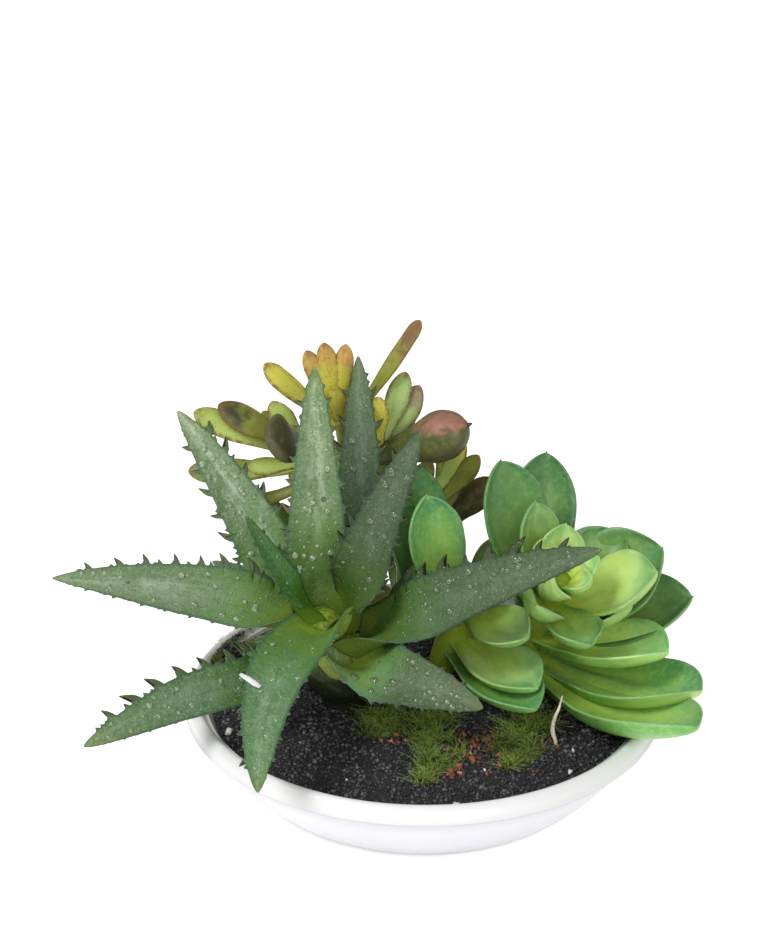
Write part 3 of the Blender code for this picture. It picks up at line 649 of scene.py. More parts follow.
def sheath_finish():
    """Yellow-green leaf bases with fine stripes that run up the stem, and painted shade near the
    soil.
    """
    made, tree = material("scene_sheath", Roughness=0.42, Specular_IOR_Level=0.35)
    stripes = grain(tree, 1.3, 2, 0.5, stretch=(1, 1, 0.12))
    color = ramp(
        stripes,
        (0.36, 0.1, 0.17, 0.012), (0.52, 0.18, 0.27, 0.018), (0.68, 0.27, 0.36, 0.04),
    )
    height = node(tree, "SeparateXYZ", {0: own_place(tree)}).outputs[2]
    # Painted shade: the sheath darkens towards the soil, under the crown of leaves
    color = mixed(ranged(height, 0.068, 0.046), color, (0.018, 0.024, 0.01))
    return finished(made, color, None, stripes, 0.3, 0.5)


def rosette_finish(name):
    """Lime in the heart and on the bellies, blue-green at the outer ends, with a soft pale rim."""
    made, tree = material(name, Roughness=0.38, Specular_IOR_Level=0.35)
    along, side, upper, youth = place_of(tree)
    wander = math("ADD", along, patches(tree, 16, 0.3, 0.7, -0.1, 0.1))
    old = ramp(
        wander,
        (0.1, 0.15, 0.22, 0.012), (0.42, 0.18, 0.34, 0.05), (0.72, 0.11, 0.3, 0.07),
        (0.98, 0.05, 0.2, 0.075),
    )
    young = ramp(
        wander,
        (0.1, 0.38, 0.46, 0.02), (0.45, 0.5, 0.62, 0.12), (0.8, 0.44, 0.6, 0.22),
        (1, 0.2, 0.42, 0.14),
    )
    shade = times(ranged(side, 0.45, 1, 0, 0.7), ranged(youth, 0, 1, 1, 0.25))
    color = mixed(shade, mixed(youth, old, young), (0.04, 0.19, 0.075))
    under = ramp(
        along,
        (0.2, 0.05, 0.15, 0.015), (0.6, 0.09, 0.27, 0.03), (1, 0.11, 0.32, 0.06),
    )
    lime = times(painted(tree, "end"), ranged(wander, 0.35, 0.8))
    under = mixed(0.75, color, mixed(lime, under, (0.42, 0.55, 0.16)))
    streak = ranged(leaf_grain(tree, (2.2, 3.5, 2)), 0.55, 0.3, 0, 0.35)
    color = layered(
        mixed(upper, under, color),
        (ranged(side, 0.93, 1, 0, 0.12), (0.42, 0.58, 0.28)),
        (patches(tree, 2.4, 0.42, 0.72, 0, 0.4, 5, 0.7), (0.36, 0.54, 0.16)),
        (streak, (0.07, 0.19, 0.03)),
        (patches(tree, 11, 0.45, 0.3, 0, 0.25), (0.07, 0.19, 0.03)),
    )
    # Each leaf's tint is its brightness: partly its own tone and partly painted light
    color = mixed(times(specks(tree, 6.5, 0.22), 0.5), tinted(tree, color), (0.55, 0.65, 0.4))
    rough = patches(tree, 9, 0.3, 0.7, 0.3, 0.46)
    return finished(made, color, rough, grain(tree, 1.4, 3), 0.15, 0.4)


def jade_finish(name):
    """A waxy finger leaf whose own tint turns into its end tint, speckled and stained brown."""
    made, tree = material(name, Roughness=0.44, Specular_IOR_Level=0.35)
    along, side, upper, _ = place_of(tree)
    wander = math("ADD", along, patches(tree, 4, 0.3, 0.7, -0.1, 0.1))
    wander = math("ADD", wander, ranged(upper, 0, 1, -0.16, 0.06))
    color = mixed(ranged(wander, 0.66, 0.97), painted(tree, "tint"), painted(tree, "end"))
    streaks = ranged(leaf_grain(tree, (1.5, 3, 6)), 0.5, 0.7, 0, 0.25)
    color = mixed(streaks, color, (0.12, 0.11, 0.02))
    lit = mixed(0.35, color, (0.42, 0.46, 0.12))
    dots = times(specks(tree, 1.3, 0.3), patches(tree, 4, 0.45, 0.6, 0, 0.8))
    edge = math("MAXIMUM", ranged(side, 0.6, 0.96), ranged(along, 0.86, 1))
    dull = ranged(painted(tree, "tint"), 0.06, 0.16)
    color = layered(
        color,
        (patches(tree, 3, 0.45, 0.75, 0, 0.5, 4), lit),
        (dots, (0.17, 0.07, 0.015)),
        (
            times(patches(tree, 2, 0.42, 0.58, 0.25, 0.95, 5, 0.75), edge),
            mixed(dull, (0.1, 0.088, 0.045), (0.2, 0.1, 0.025)),
        ),
    )
    return finished(made, color, None, grain(tree, 1.6, 3), 0.2, 0.5)


def moss_finish():
    """Bright green threads, brown at the root."""
    made, tree = material("scene_moss", Roughness=0.7)
    along, _, _, own = place_of(tree)
    color = ramp(
        along,
        (0, 0.02, 0.018, 0.006), (0.3, 0.09, 0.13, 0.016), (0.75, 0.27, 0.39, 0.05),
        (1, 0.46, 0.56, 0.13),
    )
    color = tinted(tree, mixed(ranged(own, 0.5, 1, 0, 0.7), color, (0.05, 0.11, 0.015)))
    brown = patches(tree, 3, 0.4, 0.7, 0, 0.35)
    return finished(made, mixed(brown, color, (0.1, 0.11, 0.02)))


def crumb_finish():
    made, tree = material("scene_bark_crumbs", Roughness=0.8)
    color = ramp(
        place_of(tree)[3],
        (0, 0.06, 0.02, 0.012), (0.45, 0.2, 0.06, 0.03), (0.8, 0.5, 0.16, 0.08),
        (1, 0.62, 0.34, 0.22),
    )
    color = mixed(patches(tree, 0.8, 0.4, 0.7, 0, 0.5), color, (0.16, 0.05, 0.025))
    return finished(made, color, None, grain(tree, 0.4), 0.15, 0.7)


def flake_finish():
    made, tree = material("scene_white_flakes", Roughness=0.75)
    color = mixed(ranged(grain(tree, 0.7), 0.4, 0.7), (0.86, 0.86, 0.84), (0.62, 0.6, 0.56))
    return finished(made, color, None, grain(tree, 0.5), 0.15)


def twig_finish():
    made, tree = material("scene_twig", Roughness=0.8)
    streaks = grain(tree, 0.7, 3, 0.6, stretch=(1, 1, 0.15))
    color = mixed(ranged(streaks, 0.35, 0.7), (0.5, 0.42, 0.3), (0.85, 0.8, 0.7))
    return finished(made, color, None, streaks, 0.2, 0.7)


def floor_finish():
    glow = {"Emission_Color": (1, 1, 1, 1), "Emission_Strength": FLOOR_GLOW}
    made, tree = material("scene_floor", Roughness=0.7, **glow)
    made.cycles.emission_sampling = "NONE"
    tone = ranged(grain(tree, 400), 0.3, 0.7)
    return finished(made, mixed(tone, (0.93, 0.93, 0.93), (0.96, 0.96, 0.96)))


# Bowl and soil


def body_profile(inset=0):
    """Points of the bowl's curved body from under the lip to the foot, moved inwards by inset."""
    points = []
    for k in range(BODY_POINTS + 1):
        a = pi / 2 * k / BODY_POINTS
        radius = FOOT_RADIUS + (BODY_RADIUS - FOOT_RADIUS) * cos(a) ** (2 / BODY_ROUNDNESS)
        height = BODY_HEIGHT * (1 - sin(a) ** (2 / BODY_ROUNDNESS))
        points.append((radius - inset, height))
    return points


def softened(points):
    """Cuts every corner of an open line twice, as a worn or glazed edge is."""
    for _ in range(2):
        cut = [points[0]]
        for (x, y), (x2, y2) in zip(points, points[1:]):
            cut.append((lerp(x, x2, 0.25), lerp(y, y2, 0.25)))
            cut.append((lerp(x, x2, 0.75), lerp(y, y2, 0.75)))
        points = [*cut, points[-1]]
    return points


def build_bowl():
    wall = [(r, z + FLOOR_THICKNESS) for r, z in body_profile(inset=WALL)[1:]]
    lip = softened([wall[0], *LIP_SECTION, body_profile()[1]])
    profile = [(0, FLOOR_THICKNESS), *wall[:0:-1], *lip, *body_profile()[2:], (0, 0)]
    mesh = bpy.data.meshes.new("glazed_bowl")
    verts = [(r * MM, 0, z * MM) for r, z in profile]
    mesh.from_pydata(verts, [(k, k + 1) for k in range(len(verts) - 1)], [])
    mesh.materials.append(glaze_finish())
    bowl = placed("glazed_bowl", mesh)
    screw = bowl.modifiers.new("Turn", "SCREW")
    screw.axis = "Z"
    screw.steps = screw.render_steps = BOWL_STEPS
    screw.use_merge_vertices = True
    screw.merge_threshold = 0.01 * MM
    screw.use_smooth_shade = True
    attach(bowl, "root")
    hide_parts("bowl")


def soil_height(x, y):
    share = min((x * x + y * y) / (BODY_RADIUS - WALL) ** 2, 1)
    rough = noise.noise(Vector((x, y, 3)) / SOIL_RELIEF_SIZE)
    return SOIL_EDGE_HEIGHT + SOIL_MOUND * (1 - share) + SOIL_RELIEF * rough


def crumbly_height(x, y):
    coarse = noise.noise(Vector((x, y, 9)) / 3.4)
    fine = noise.noise(Vector((x, y, 17)) / 1.3)
    return soil_height(x, y) + 0.55 * coarse + 0.45 * fine


def on_soil(x, y, lift=0):
    return Vector((x, y, crumbly_height(x, y) + lift))


def stone(piece, center, size, draw, slot=0, flat=0.7):
    """One angular grain: a box with its corners moved about and its end faces pinched."""
    turn = Euler((draw.uniform(0, tau), draw.uniform(0, tau), draw.uniform(0, tau))).to_matrix()
    own = draw.random()
    ids = []
    for x, y, z in STONE_CORNERS:
        x, y = x * draw.uniform(0.35, 1), y * draw.uniform(0.35, 1)
        corner = Vector((x, y, z * flat * draw.uniform(0.4, 1)))
        ids.append(piece.add(center + turn @ corner * size, (0.5, 0.5, 1, own)))
    for quad in STONE_FACES:
        piece.face((ids[k] for k in quad), slot)


def build_soil():
    """A crumbly top sheet with a skirt down the wall, and angular grains bedded in it."""
    piece = Piece()
    rings = []
    for k in range(1, SOIL_RINGS + 1):
        radius = SOIL_RADIUS * (k / SOIL_RINGS) ** 0.8
        rings.append([on_soil(radius * cos(a), radius * sin(a)) for a in turns(SOIL_SPOKES)])
    for radius, z in ((SOIL_RADIUS - 1.5, 24), (FOOT_RADIUS - 6, 6.5)):
        rings.append([round_at(a, radius, z) for a in turns(SOIL_SPOKES)])
    piece.loft(rings)
    draw = random.Random(5)
    for _ in range(GRAIN_COUNT):
        a = draw.uniform(0, tau)
        radius = (SOIL_RADIUS - 1.5) * sqrt(draw.random())
        size = draw.choice(GRAIN_SIZES)
        stone(piece, on_soil(radius * cos(a), radius * sin(a), 0.15 * size), size, draw, 1)
    x0, y0, spread, rise, count = RIM_HEAP
    for _ in range(count):
        x, y = draw.gauss(x0, spread * 0.6), draw.gauss(y0, spread * 0.6)
        radius = sqrt(x * x + y * y)
        if radius > LIP_INNER_RADIUS + 1:
            continue
        near = ((x - x0) ** 2 + (y - y0) ** 2) / spread**2
        height = soil_height(x, y) + rise * exp(-near) * draw.random() ** 0.6
        floor = LIP_HEIGHT - 1 if radius > LIP_INNER_RADIUS - 1 else 0
        stone(piece, Vector((x, y, max(height, floor))), draw.uniform(0.4, 0.9), draw, 1)
    piece.build("crumbly_soil", (soil_finish(), grit_finish()), "dark_soil", "soil")


def build_bark_crumbs():
    piece = Piece()
    draw = random.Random(11)
    for x0, y0, spread, count, largest in BARK_HEAPS:
        for _ in range(count):
            x, y = draw.gauss(x0, spread * 0.5), draw.gauss(y0, spread * 0.5)
            if sqrt(x * x + y * y) > SOIL_RADIUS - 4:
                continue
            size = largest * draw.uniform(0.3, 1) ** 1.4
            stone(piece, on_soil(x, y, 0.4 * size), size, draw, flat=0.4)
    piece.build("bark_crumbs", (crumb_finish(),), "dark_soil")


def build_white_flakes():
    piece = Piece()
    draw = random.Random(12)
    for x, y, size in WHITE_FLAKES:
        stone(piece, on_soil(x, y, 0.4 * size), size, draw, flat=0.5)
    finish = flake_finish()
    piece.build("white_flakes", (finish,), "dark_soil")
    sliver = Piece()
    points = [Vector(p) for p in SLIVER_POINTS]
    side, normal = frame_at((points[-1] - points[0]).normalized(), SLIVER_FACE)
    rings = []
    for point, wide in zip(points, (0.8, 1.5, 1.6, 1)):
        rings.append([point + side * (cos(a) * wide) + normal * (sin(a) * 0.45) for a in turns(10)])
    sliver.loft(rings)
    sliver.build("white_sliver", (finish,), "dark_soil")


# Leaves


def frame_at(tangent, face):
    """The side and the upper normal of a leaf that runs along tangent and looks towards face."""
    normal = (face - face.dot(tangent) * tangent).normalized()
    return tangent.cross(normal), normal


def bezier(root, control, tip, t):
    point = root * (1 - t) ** 2 + control * 2 * t * (1 - t) + tip * t * t
    tangent = (control - root) * (1 - t) + (tip - control) * t
    return point, tangent.normalized()


def leaf_ring(center, side, normal, half, cup, edge, belly, wave, push=None, round_to=0.8):
    """Points round a leaf's section, in the order of LEAF_MARKS."""
    upper, lower = [], []
    for u in LEAF_ACROSS:
        out = center + side * (u * half)
        lift = cup * half * u * u
        upper.append(out + normal * (lift + edge + wave(u)))
        lower.append(out + normal * (lift - edge - belly * (1 - u * u) ** round_to))
    left = center - side * (half + edge) + normal * (cup * half)
    right = center + side * (half + edge) + normal * (cup * half)
    if push:
        for moved, at, near in ((push[0], 0, 1), (push[1], -1, -2)):
            for row in (upper, lower):
                row[at] = row[at] + moved * 0.93
                row[near] = row[near] + moved * 0.25
        left, right = left + push[0], right + push[1]
    return upper + [right] + lower[::-1] + [left]


def aloe_axis(height):
    lean = ALOE_LEAN * max(height - ALOE_STEM[1][0], 0)
    return Vector((ALOE_FOOT[0] - lean, ALOE_FOOT[1], height))


def aloe_radius(height):
    for (z, r), (z2, r2) in zip(ALOE_STEM, ALOE_STEM[1:]):
        if z <= height <= z2:
            return r + (r2 - r) * (height - z) / (z2 - z)
    return ALOE_STEM[-1][1]


def teeth_of(length, scale, draw):
    """Peak, half base, height and hook of the teeth along one margin, as the solid has them."""
    teeth = []
    count = int(length * 0.8 / TOOTH_PITCH)
    for k in range(count):
        start = 0.15 + 0.8 * k / count
        peak = start * length + TOOTH_BASE * 0.7 + draw.uniform(-0.9, 0.9)
        height = TOOTH_HEIGHT * (1 - 0.35 * start) * scale * draw.uniform(0.8, 1.25)
        base = 2.3 * (1 - 0.3 * start) * (0.45 + 0.55 * scale)
        teeth.append((peak, base, height, draw.uniform(0.3, 1.3)))
        for _ in range(draw.randint(1, 3)):
            teeth.append((peak + draw.uniform(1.5, 8), 1.1, height * draw.uniform(0.1, 0.4), 0.5))
    return teeth


def tooth_push(teeth, at, outward, tangent):
    """How far the margin stands out here, as a thorn that hooks towards the tip, and its share."""
    push = Vector((0, 0, 0))
    most = 0
    for peak, base, height, hook in teeth:
        x = abs(at - peak) / base
        if x < 1:
            rise = (1 - x) ** 1.35
            push += (outward * rise + tangent * (hook * rise**3)) * height
            most = max(most, rise * min(height / 3, 1))
    return push, most


def drop(piece, center, across, along, normal, radius, tint):
    """A low round dome on a leaf's face."""
    rings = []
    for wide, high in DROP_PROFILE:
        out, up = radius * wide, normal * (radius * high)
        rings.append([center + (across * cos(a) + along * sin(a)) * out + up for a in turns(12)])
    piece.loft(rings, tint=tint, slot=1)


def build_aloe_leaf(name, spec, number, finishes):
    angle, height, seat, tip, bow, face, width, thickness, base = spec
    teeth, tint, root_tint, frost, drops, taper, waist, shift = ALOE_LOOKS[name]
    draw = random.Random(100 + number)
    radial = round_at(radians(angle))
    root = aloe_axis(height) + radial * (aloe_radius(height) + seat)
    tip = Vector(tip)
    control = root.lerp(tip, 0.4) + Vector(bow)
    length = (tip - root).length
    teeth = [teeth_of(length, scale, draw) for scale in teeth]
    piece = Piece()
    rings, places, seats = [], [], []
    count = int(length / STATION_PITCH)
    stations = {k / count for k in range(-6, count + 1)}
    stations |= {peak / length for margin in teeth for peak, *_ in margin if peak < length}
    for t in sorted(stations):
        center, tangent = bezier(root, control, tip, t)
        look = (UP - radial * 0.6).lerp(Vector(face), smoothstep(t / 0.4))
        side, normal = frame_at(tangent, look)
        clasp = 1 - smoothstep(t / 0.22)
        spread = 1 - (1 - base) * clasp
        narrow = 1 - smoothstep((t - 0.28) / 0.4)
        center = center + side * (shift * narrow)
        half = width / 2 * spread * (1 - t) ** taper
        half = max(half * (1 - (1 - waist) * narrow), 0.25)
        fill = max(1 - t, 0)
        belly = thickness * fill**0.5 * (0.6 + 0.4 * spread)
        cup = 0.3 - 0.12 * t + 0.3 * clasp
        at = t * length
        left, left_rise = tooth_push(teeth[0], at, -side, tangent)
        right, right_rise = tooth_push(teeth[1], at, side, tangent)
        edge = 0.42 * min(1, 0.25 + fill * 4)

        def wave(u):
            ripple = 0.45 * bumps(number * 31.7 + u * half / 5, at / 8, 0) * (1 - u * u)
            return ripple - 0.5 * exp(-((u / 0.22) ** 2)) * (1 - t)

        rings.append(leaf_ring(center, side, normal, half, cup, edge, belly, wave, (left, right)))
        thorn = {-1: -0.3 * left_rise, 1: 0.3 * right_rise}
        sides = [((u + 1) / 2 + thorn.get(u, 0), up) for u, up in LEAF_MARKS]
        places.append([(max(t, 0), *spot, frost) for spot in sides])
        seats.append((rings[-1], side, tangent, normal, half))
    piece.loft(rings, places, tint, root_tint)
    for _ in range(drops):
        ring, side, tangent, normal, half = seats[int(lerp(0.16, 0.93, draw.random()) * len(seats))]
        center = ring[draw.randint(2, LEAF_COLUMNS - 2)]
        radius = min(draw.choice(DROP_SIZES), half * 0.25)
        drop(piece, center, side, tangent, normal, radius, tint)
    piece.build("fine_aloe_leaf_" + name, finishes, "aloe_leaf", "aloe_leaf_" + name)


def build_aloe_stem():
    """Clasping leaf bases round the crown: each overlaps the next in a low ridge."""
    piece = Piece()
    rings, places = [], []
    steps, sides = 64, 72
    low, high = ALOE_STEM[0][0], ALOE_STEM[-1][0]
    for k in range(steps + 1):
        z = lerp(low, high, k / steps)
        center, radius = aloe_axis(z), aloe_radius(z)
        ring = []
        for a in turns(sides):
            fold = (a * 3 / tau + z / 26) % 1
            swell = 0.9 * fold**3 * smoothstep((z - 38) / 8)
            groove = 0.1 * sin(40 * a + 0.5 * sin(z / 6))
            ring.append(center + round_at(a, radius - 0.3 + min(swell + groove, 0.9)))
        rings.append(ring)
        places.append([(k / steps, s / sides, 1, 0.5) for s in range(sides)])
    piece.loft(rings, places)
    piece.build("aloe_crown_sheath", (sheath_finish(),), "aloe_sheath", "aloe_stem")


def rosette_width(t):
    """Half width of a spoon leaf as a share of its widest half, ending in a short point."""
    rise = 0.34 + 0.66 * smoothstep(t / 0.62)
    fall = max(1 - max((t - 0.66) / 0.34, 0) ** 2.4, 0) ** 0.7
    return rise * max(fall, 0)


def rosette_leaf(piece, frame, spec, number):
    """A cupped spoon leaf; youth is 0 for an old outer leaf and 1 for one in the heart."""
    azimuth, rise, length, seat, width, sag_share, turn, tone_and_painted_light, youth, lime = spec
    a, e = radians(azimuth), radians(rise)
    chord = Vector((cos(a) * cos(e), sin(a) * cos(e), sin(e))) * length
    look = UP.lerp(frame.to_3x3().inverted() @ FRONT, turn)
    root = UP * seat
    sag = (round_at(a) * sin(e) - UP * cos(e)) * (sag_share * length)
    control = root + chord * 0.5 + sag
    rings, places = [], []
    for k in range(ROSETTE_STATIONS + 1):
        t = 1 - (1 - k / ROSETTE_STATIONS) ** 1.35
        center, tangent = bezier(root, control, root + chord, t)
        side, normal = frame_at(tangent, look)
        half = max(width / 2 * rosette_width(t), 0.22)
        belly = ROSETTE_THICKNESS * (1 - 0.75 * t * t) * min(1, 0.25 + half / 9)
        cup = ROSETTE_CUP * smoothstep(t / 0.4)
        edge = ROSETTE_EDGE * min(1, 0.3 + half / 4)
        wavy = 0.3 * bumps(number * 9.1, t * 3, 0)

        def wave(u):
            fine = 0.25 * bumps(number * 5.3 + u, t * 4, 2)
            return wavy * (1 - u * u) + fine * (1 - u * u)

        section = center, side, normal, half, cup, edge, belly, wave
        rings.append(leaf_ring(*section, round_to=ROSETTE_ROUNDNESS))
        places.append([(t, (u + 1) / 2, up, youth) for u, up in LEAF_MARKS])
    mucro, tangent = bezier(root, control, root + chord, 1)
    rings.append([mucro + tangent * 0.9 + (p - mucro) * 0.15 for p in rings[-1]])
    places.append(places[-1])
    rings = [[frame @ p for p in ring] for ring in rings]
    # The brightness goes on as the tint: partly the leaf's own tone, partly painted light
    piece.loft(rings, places, [tone_and_painted_light] * 3, [lime] * 3)


def smooth_path(points, steps):
    """Points along a Catmull-Rom curve through the given ones."""
    points = [Vector(p) for p in points]
    path = []
    for k in range(len(points) - 1):
        p0, p1 = points[max(k - 1, 0)], points[k]
        p2, p3 = points[k + 1], points[min(k + 2, len(points) - 1)]
        pull, bend = p2 - p0, 2 * p0 - 5 * p1 + 4 * p2 - p3
        twist = 3 * p1 - p0 - 3 * p2 + p3
        for t in (s / steps for s in range(steps)):
            path.append(0.5 * (2 * p1 + pull * t + bend * t * t + twist * t**3))
    return [*path, points[-1]]


def round_stem(piece, points, radii, sides=16, steps=8, tint=WHITE):
    """A round stem along smooth curves through the points."""
    path = smooth_path(points, steps)
    reach = smooth_path([Vector((r, 0, 0)) for r in radii], steps)
    rings = []
    for k, point in enumerate(path):
        ahead, behind = path[min(k + 1, len(path) - 1)], path[max(k - 1, 0)]
        side, normal = frame_at((ahead - behind).normalized(), Vector((0.3, -1, 0.1)))
        ring = []
        for b in turns(sides):
            rough = 1 + 0.06 * bumps(b * 2, point.z / 3, 5)
            ring.append(point + (side * cos(b) + normal * sin(b)) * (reach[k].x * rough))
        rings.append(ring)
    piece.loft(rings, [[(0.1, 0.5, 1, 0.5)] * sides] * len(rings), tint, tint)


def build_rosette(name, spec, leaves):
    (x, y), tilt, toward, length, radius = spec
    lean = radians(toward)
    turn = Matrix.Rotation(radians(tilt), 4, Vector((-sin(lean), cos(lean), 0)))
    frame = Matrix.Translation((x, y, soil_height(x, y))) @ turn
    piece = Piece()
    level = frame @ Vector((0, 0, 0))
    top = frame @ Vector((0, 0, length))
    points = [Vector((x, y, HOLE_FLOOR)), level, level.lerp(top, 0.5), top]
    round_stem(piece, points, (radius, radius, radius, radius * 0.6), sides=24)
    for number, leaf in enumerate(leaves):
        rosette_leaf(piece, frame, leaf, number)
    piece.build("fine_" + name, (rosette_finish("scene_" + name),), name + "_leaf", name)


def along_stem(points, share):
    """A point at this share of a stem's length above the soil."""
    shares = share * (len(points) - 2) + 1
    k = min(int(shares), len(points) - 2)
    return Vector(points[k]).lerp(Vector(points[k + 1]), shares - k)


def finger_width(t, cap):
    """Half width of a finger leaf as a share of its widest half; the last share cap is round."""
    knots = ((0, 0.42), (0.3, 0.62), (0.68, 1), (1, 0.95))
    for (a, wide), (b, wide2) in zip(knots, knots[1:]):
        if t <= b:
            share = lerp(wide, wide2, smoothstep((t - a) / (b - a)))
            break
    end = max((t - 1 + cap) / cap, 0)
    return share * max(1 - end**2.2, 0) ** 0.6


def finger_leaf(piece, root, tip, width, tint, end, number):
    """A fat leaf, flatter above than below; the bud is puckered, and ripe on one side only."""
    bud = tint == BUD
    control = root.lerp(tip, 0.5) - UP * 2
    cap = min((0.6 if bud else 0.95) * width / (tip - root).length, 0.5)
    rings, places = [], []
    for k in range(FINGER_STATIONS + 1):
        t = sin(pi / 2 * k / FINGER_STATIONS)
        center, tangent = bezier(root, control, tip, t)
        side, normal = frame_at(tangent, Vector((0, -0.7, 0.7)))
        half = max(width / 2 * finger_width(t, cap), 0.12)
        ring, marks = [], []
        for a in turns(FINGER_SIDES):
            deep = 0.85 if bud else 0.3 if sin(a) > 0 else 0.6
            crease = (1 - abs(sin(2.5 * a + 0.6))) ** 2 * smoothstep((t - 0.55) / 0.3)
            pucker = 1 - 0.16 * crease if bud else 1
            lump = 1 + 0.06 * bumps(number * 3.7 + cos(a), sin(a), t * 3)
            r = half * pucker * lump
            ring.append(center + side * (cos(a) * r) + normal * (sin(a) * r * deep))
            ripe = t * 0.5 + 0.46 * max(cos(a - 2.1), 0) if bud else t
            marks.append((ripe, (cos(a) + 1) / 2, (sin(a) + 1) / 2, (number * 0.37) % 1))
        rings.append(ring)
        places.append(marks)
    piece.loft(rings, places, tint, end)
    if bud:
        _, tangent = bezier(root, control, tip, 1)
        spike = [tip - tangent * 1.5, tip + tangent * 1.2, tip + tangent * 2.2]
        round_stem(piece, spike, (1.3, 0.7, 0.1), sides=8, steps=3, tint=DARK)


def build_jade(stem):
    piece = Piece()
    points = JADE_STEMS[stem]
    radii = [JADE_RADIUS] * (len(points) - 1) + [JADE_RADIUS * 0.8]
    round_stem(piece, points, radii, tint=OLIVE, steps=10)
    for number, (share, *tip, width, tint, end) in enumerate(JADE_LEAVES[stem]):
        root = along_stem(points, share)
        finger_leaf(piece, root, Vector(tip), width, tint, end, number)
    name = "jade_" + stem
    piece.build("fine_" + name, (jade_finish("scene_" + name),), name + "_leaf", name)


# Moss and twig


def moss_thread(piece, root, lean, height, own, tint=MOSS_BROWN):
    """A curved hair of four three-sided rings."""
    rings, places = [], []
    for t in (0, 0.4, 0.75, 1):
        center = root + lean * (height * t * t) + UP * (height * t * (1 - 0.25 * t))
        radius = MOSS_THREAD_RADIUS * (1 - 0.75 * t)
        rings.append([center + round_at(a) * radius for a in turns(3)])
        places.append([(t, 0.5, 1, own)] * 3)
    piece.loft(rings, places, tint)


def build_moss(number, x, y, radius, finish):
    """A low cushion with sprays of threads that fan out from a few centres."""
    draw = random.Random(40 + number)
    piece = Piece()
    tint = MOSS_BROWN if number == 5 else WHITE
    ground = soil_height(x, y)
    for _ in range(int(radius * MOSS_SPRAYS_PER_MM)):
        a, share = draw.uniform(0, tau), sqrt(draw.random())
        middle = Vector((x + cos(a) * radius * share, y + sin(a) * radius * share, 0))
        size = draw.uniform(0.6, 1.15)
        own = draw.random()
        for _ in range(MOSS_THREADS):
            way = draw.uniform(0, tau)
            spot = middle + Vector((draw.gauss(0, 0.8), draw.gauss(0, 0.8), 0))
            spot.z = crumbly_height(spot.x, spot.y) + 2 * (1 - share * share) - 1
            lean = round_at(way) * draw.uniform(0.1, 1.3)
            height = MOSS_HEIGHT * size * draw.uniform(0.4, 1.35)
            moss_thread(piece, spot, lean, height, (own + draw.uniform(0, 0.4)) % 1, tint)
    rings = []
    for high, share in ((-4, 0.85), (0, 0.85), (1.2, 0.65), (1.9, 0.3)):
        ring = []
        for a in turns(CUSHION_SIDES):
            r = radius * share * (1 + 0.2 * bumps(cos(a) * 2, sin(a) * 2, number))
            ring.append(Vector((x + cos(a) * r, y + sin(a) * r, ground + high)))
        rings.append(ring)
    piece.loft(rings, [[(0.1, 0.5, 1, 0.2)] * CUSHION_SIDES] * len(rings), tint)
    piece.build(f"fine_moss_{number}", (finish,), "moss", f"moss_{number}")


def build_moss_wisps(finish):
    draw = random.Random(71)
    piece = Piece()
    for x, y, spread, count, tall in MOSS_WISPS:
        for _ in range(count):
            spot = Vector((draw.gauss(x, spread * 0.55), draw.gauss(y, spread * 0.55), 0))
            spot.z = crumbly_height(spot.x, spot.y) - 0.5
            lean = round_at(draw.uniform(0, tau)) * draw.uniform(0.2, 1.6)
            height = tall * draw.uniform(0.3, 1)
            # The wisps' lighter tint is partly the moss's own yellower green and partly painted
            # light on threads that lie in the leaves' shade
            moss_thread(piece, spot, lean, height, 0.5 * draw.random(), (1.15, 1.15, 1.1))
    piece.build("moss_wisps", (finish,), "moss")


def build_rim_moss(finish):
    """Short yellowish threads on the soil that lies against the lip."""
    draw = random.Random(61)
    piece = Piece()
    for x, y, spread in RIM_MOSS:
        for _ in range(RIM_MOSS_COUNT):
            spot = Vector((draw.gauss(x, spread * 0.5), draw.gauss(y, spread * 0.5), 0))
            radius = spot.length
            spot.z = LIP_HEIGHT - 2 if radius > LIP_INNER_RADIUS - 2 else LIP_HEIGHT - 5
            if radius > LIP_RADIUS - 2:
                continue
            lean = round_at(draw.uniform(0, tau)) * draw.uniform(0.2, 1.5)
            moss_thread(piece, spot, lean, draw.uniform(1, 3), draw.random() * 0.5)
    piece.build("rim_moss", (finish,), "moss")


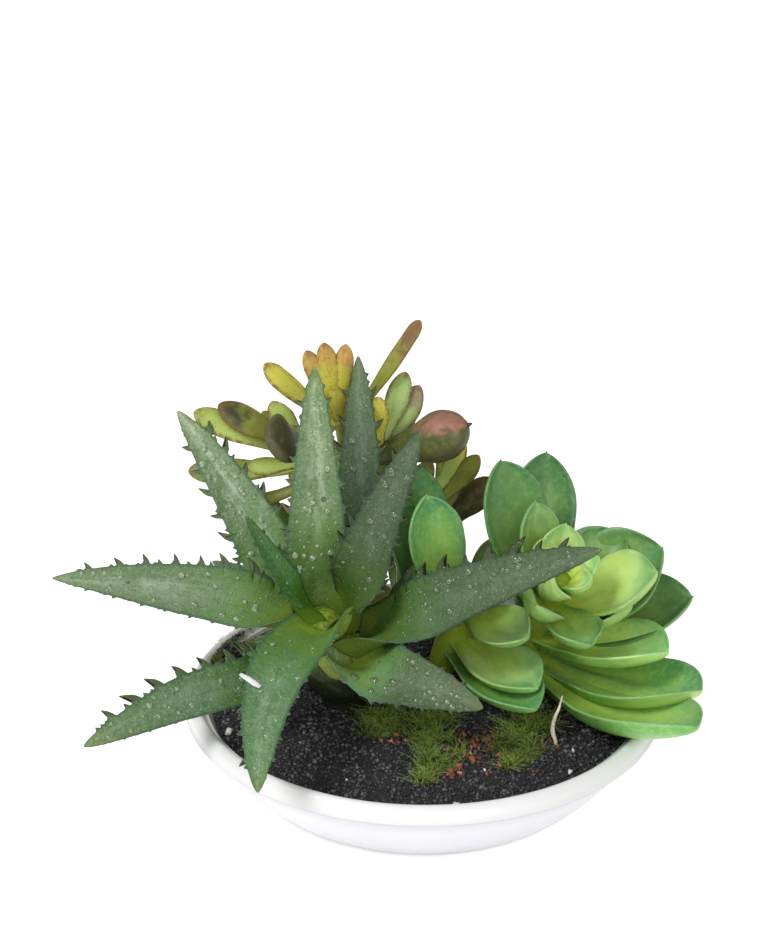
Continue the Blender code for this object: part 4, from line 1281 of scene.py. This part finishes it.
def build_twig():
    piece = Piece()
    radii = [TWIG_RADIUS * share for share in (1, 0.9, 1.1, 0.9, 0.65, 0.25)]
    round_stem(piece, TWIG_POINTS, radii, sides=12)
    piece.build("bare_twig", (twig_finish(),), "pale_twig", "twig")


# The studio


def build_floor():
    bm = bmesh.new()
    bmesh.ops.create_circle(bm, cap_ends=True, segments=96, radius=FLOOR_RADIUS)
    mesh = bpy.data.meshes.new("studio_floor")
    bm.to_mesh(mesh)
    bm.free()
    mesh.materials.append(floor_finish())
    floor = placed("studio_floor", mesh)
    floor.location.z = FLOOR_DROP


def soft_light(name, power, size, place):
    data = bpy.data.lights.new(name, "AREA")
    data.energy = power
    data.size = size
    light = placed(name, data)
    light.location = place
    light.rotation_euler = (LIGHT_AIM - Vector(place)).to_track_quat("-Z", "Y").to_euler()


def build_studio():
    build_floor()
    soft_light("key_light", *KEY_LIGHT)
    soft_light("fill_light", *FILL_LIGHT)
    world = bpy.data.worlds.new("studio_sky")
    world.use_nodes = True
    sky = world.node_tree.nodes["Background"].inputs
    sky["Color"].default_value = (1, 1, 1, 1)
    sky["Strength"].default_value = SKY_STRENGTH
    bpy.context.scene.world = world
    bpy.context.scene.view_settings.view_transform = "Standard"


def set_camera():
    data = bpy.data.cameras.new("photo_view")
    data.lens = CAMERA_LENS
    camera = placed("photo_view", data)
    camera.location = Vector(CAMERA_PLACE) * MM
    camera.rotation_euler = (radians(90 - CAMERA_DROP), 0, 0)
    bpy.context.scene.camera = camera


build_bowl()
build_soil()
build_bark_crumbs()
build_white_flakes()
build_aloe_stem()
finishes = (aloe_finish(), drop_finish())
for number, (name, spec) in enumerate(ALOE_LEAVES.items()):
    build_aloe_leaf(name, spec, number, finishes)
build_rosette("echeveria_right", RIGHT_ROSETTE, RIGHT_LEAVES)
build_rosette("echeveria_left", LEFT_ROSETTE, LEFT_LEAVES)
for stem in JADE_STEMS:
    build_jade(stem)
moss = moss_finish()
for number, (x, y, radius) in enumerate(MOSS_TUFTS, 1):
    build_moss(number, x, y, radius, moss)
build_moss_wisps(moss)
build_rim_moss(moss)
build_twig()
build_studio()
set_camera()
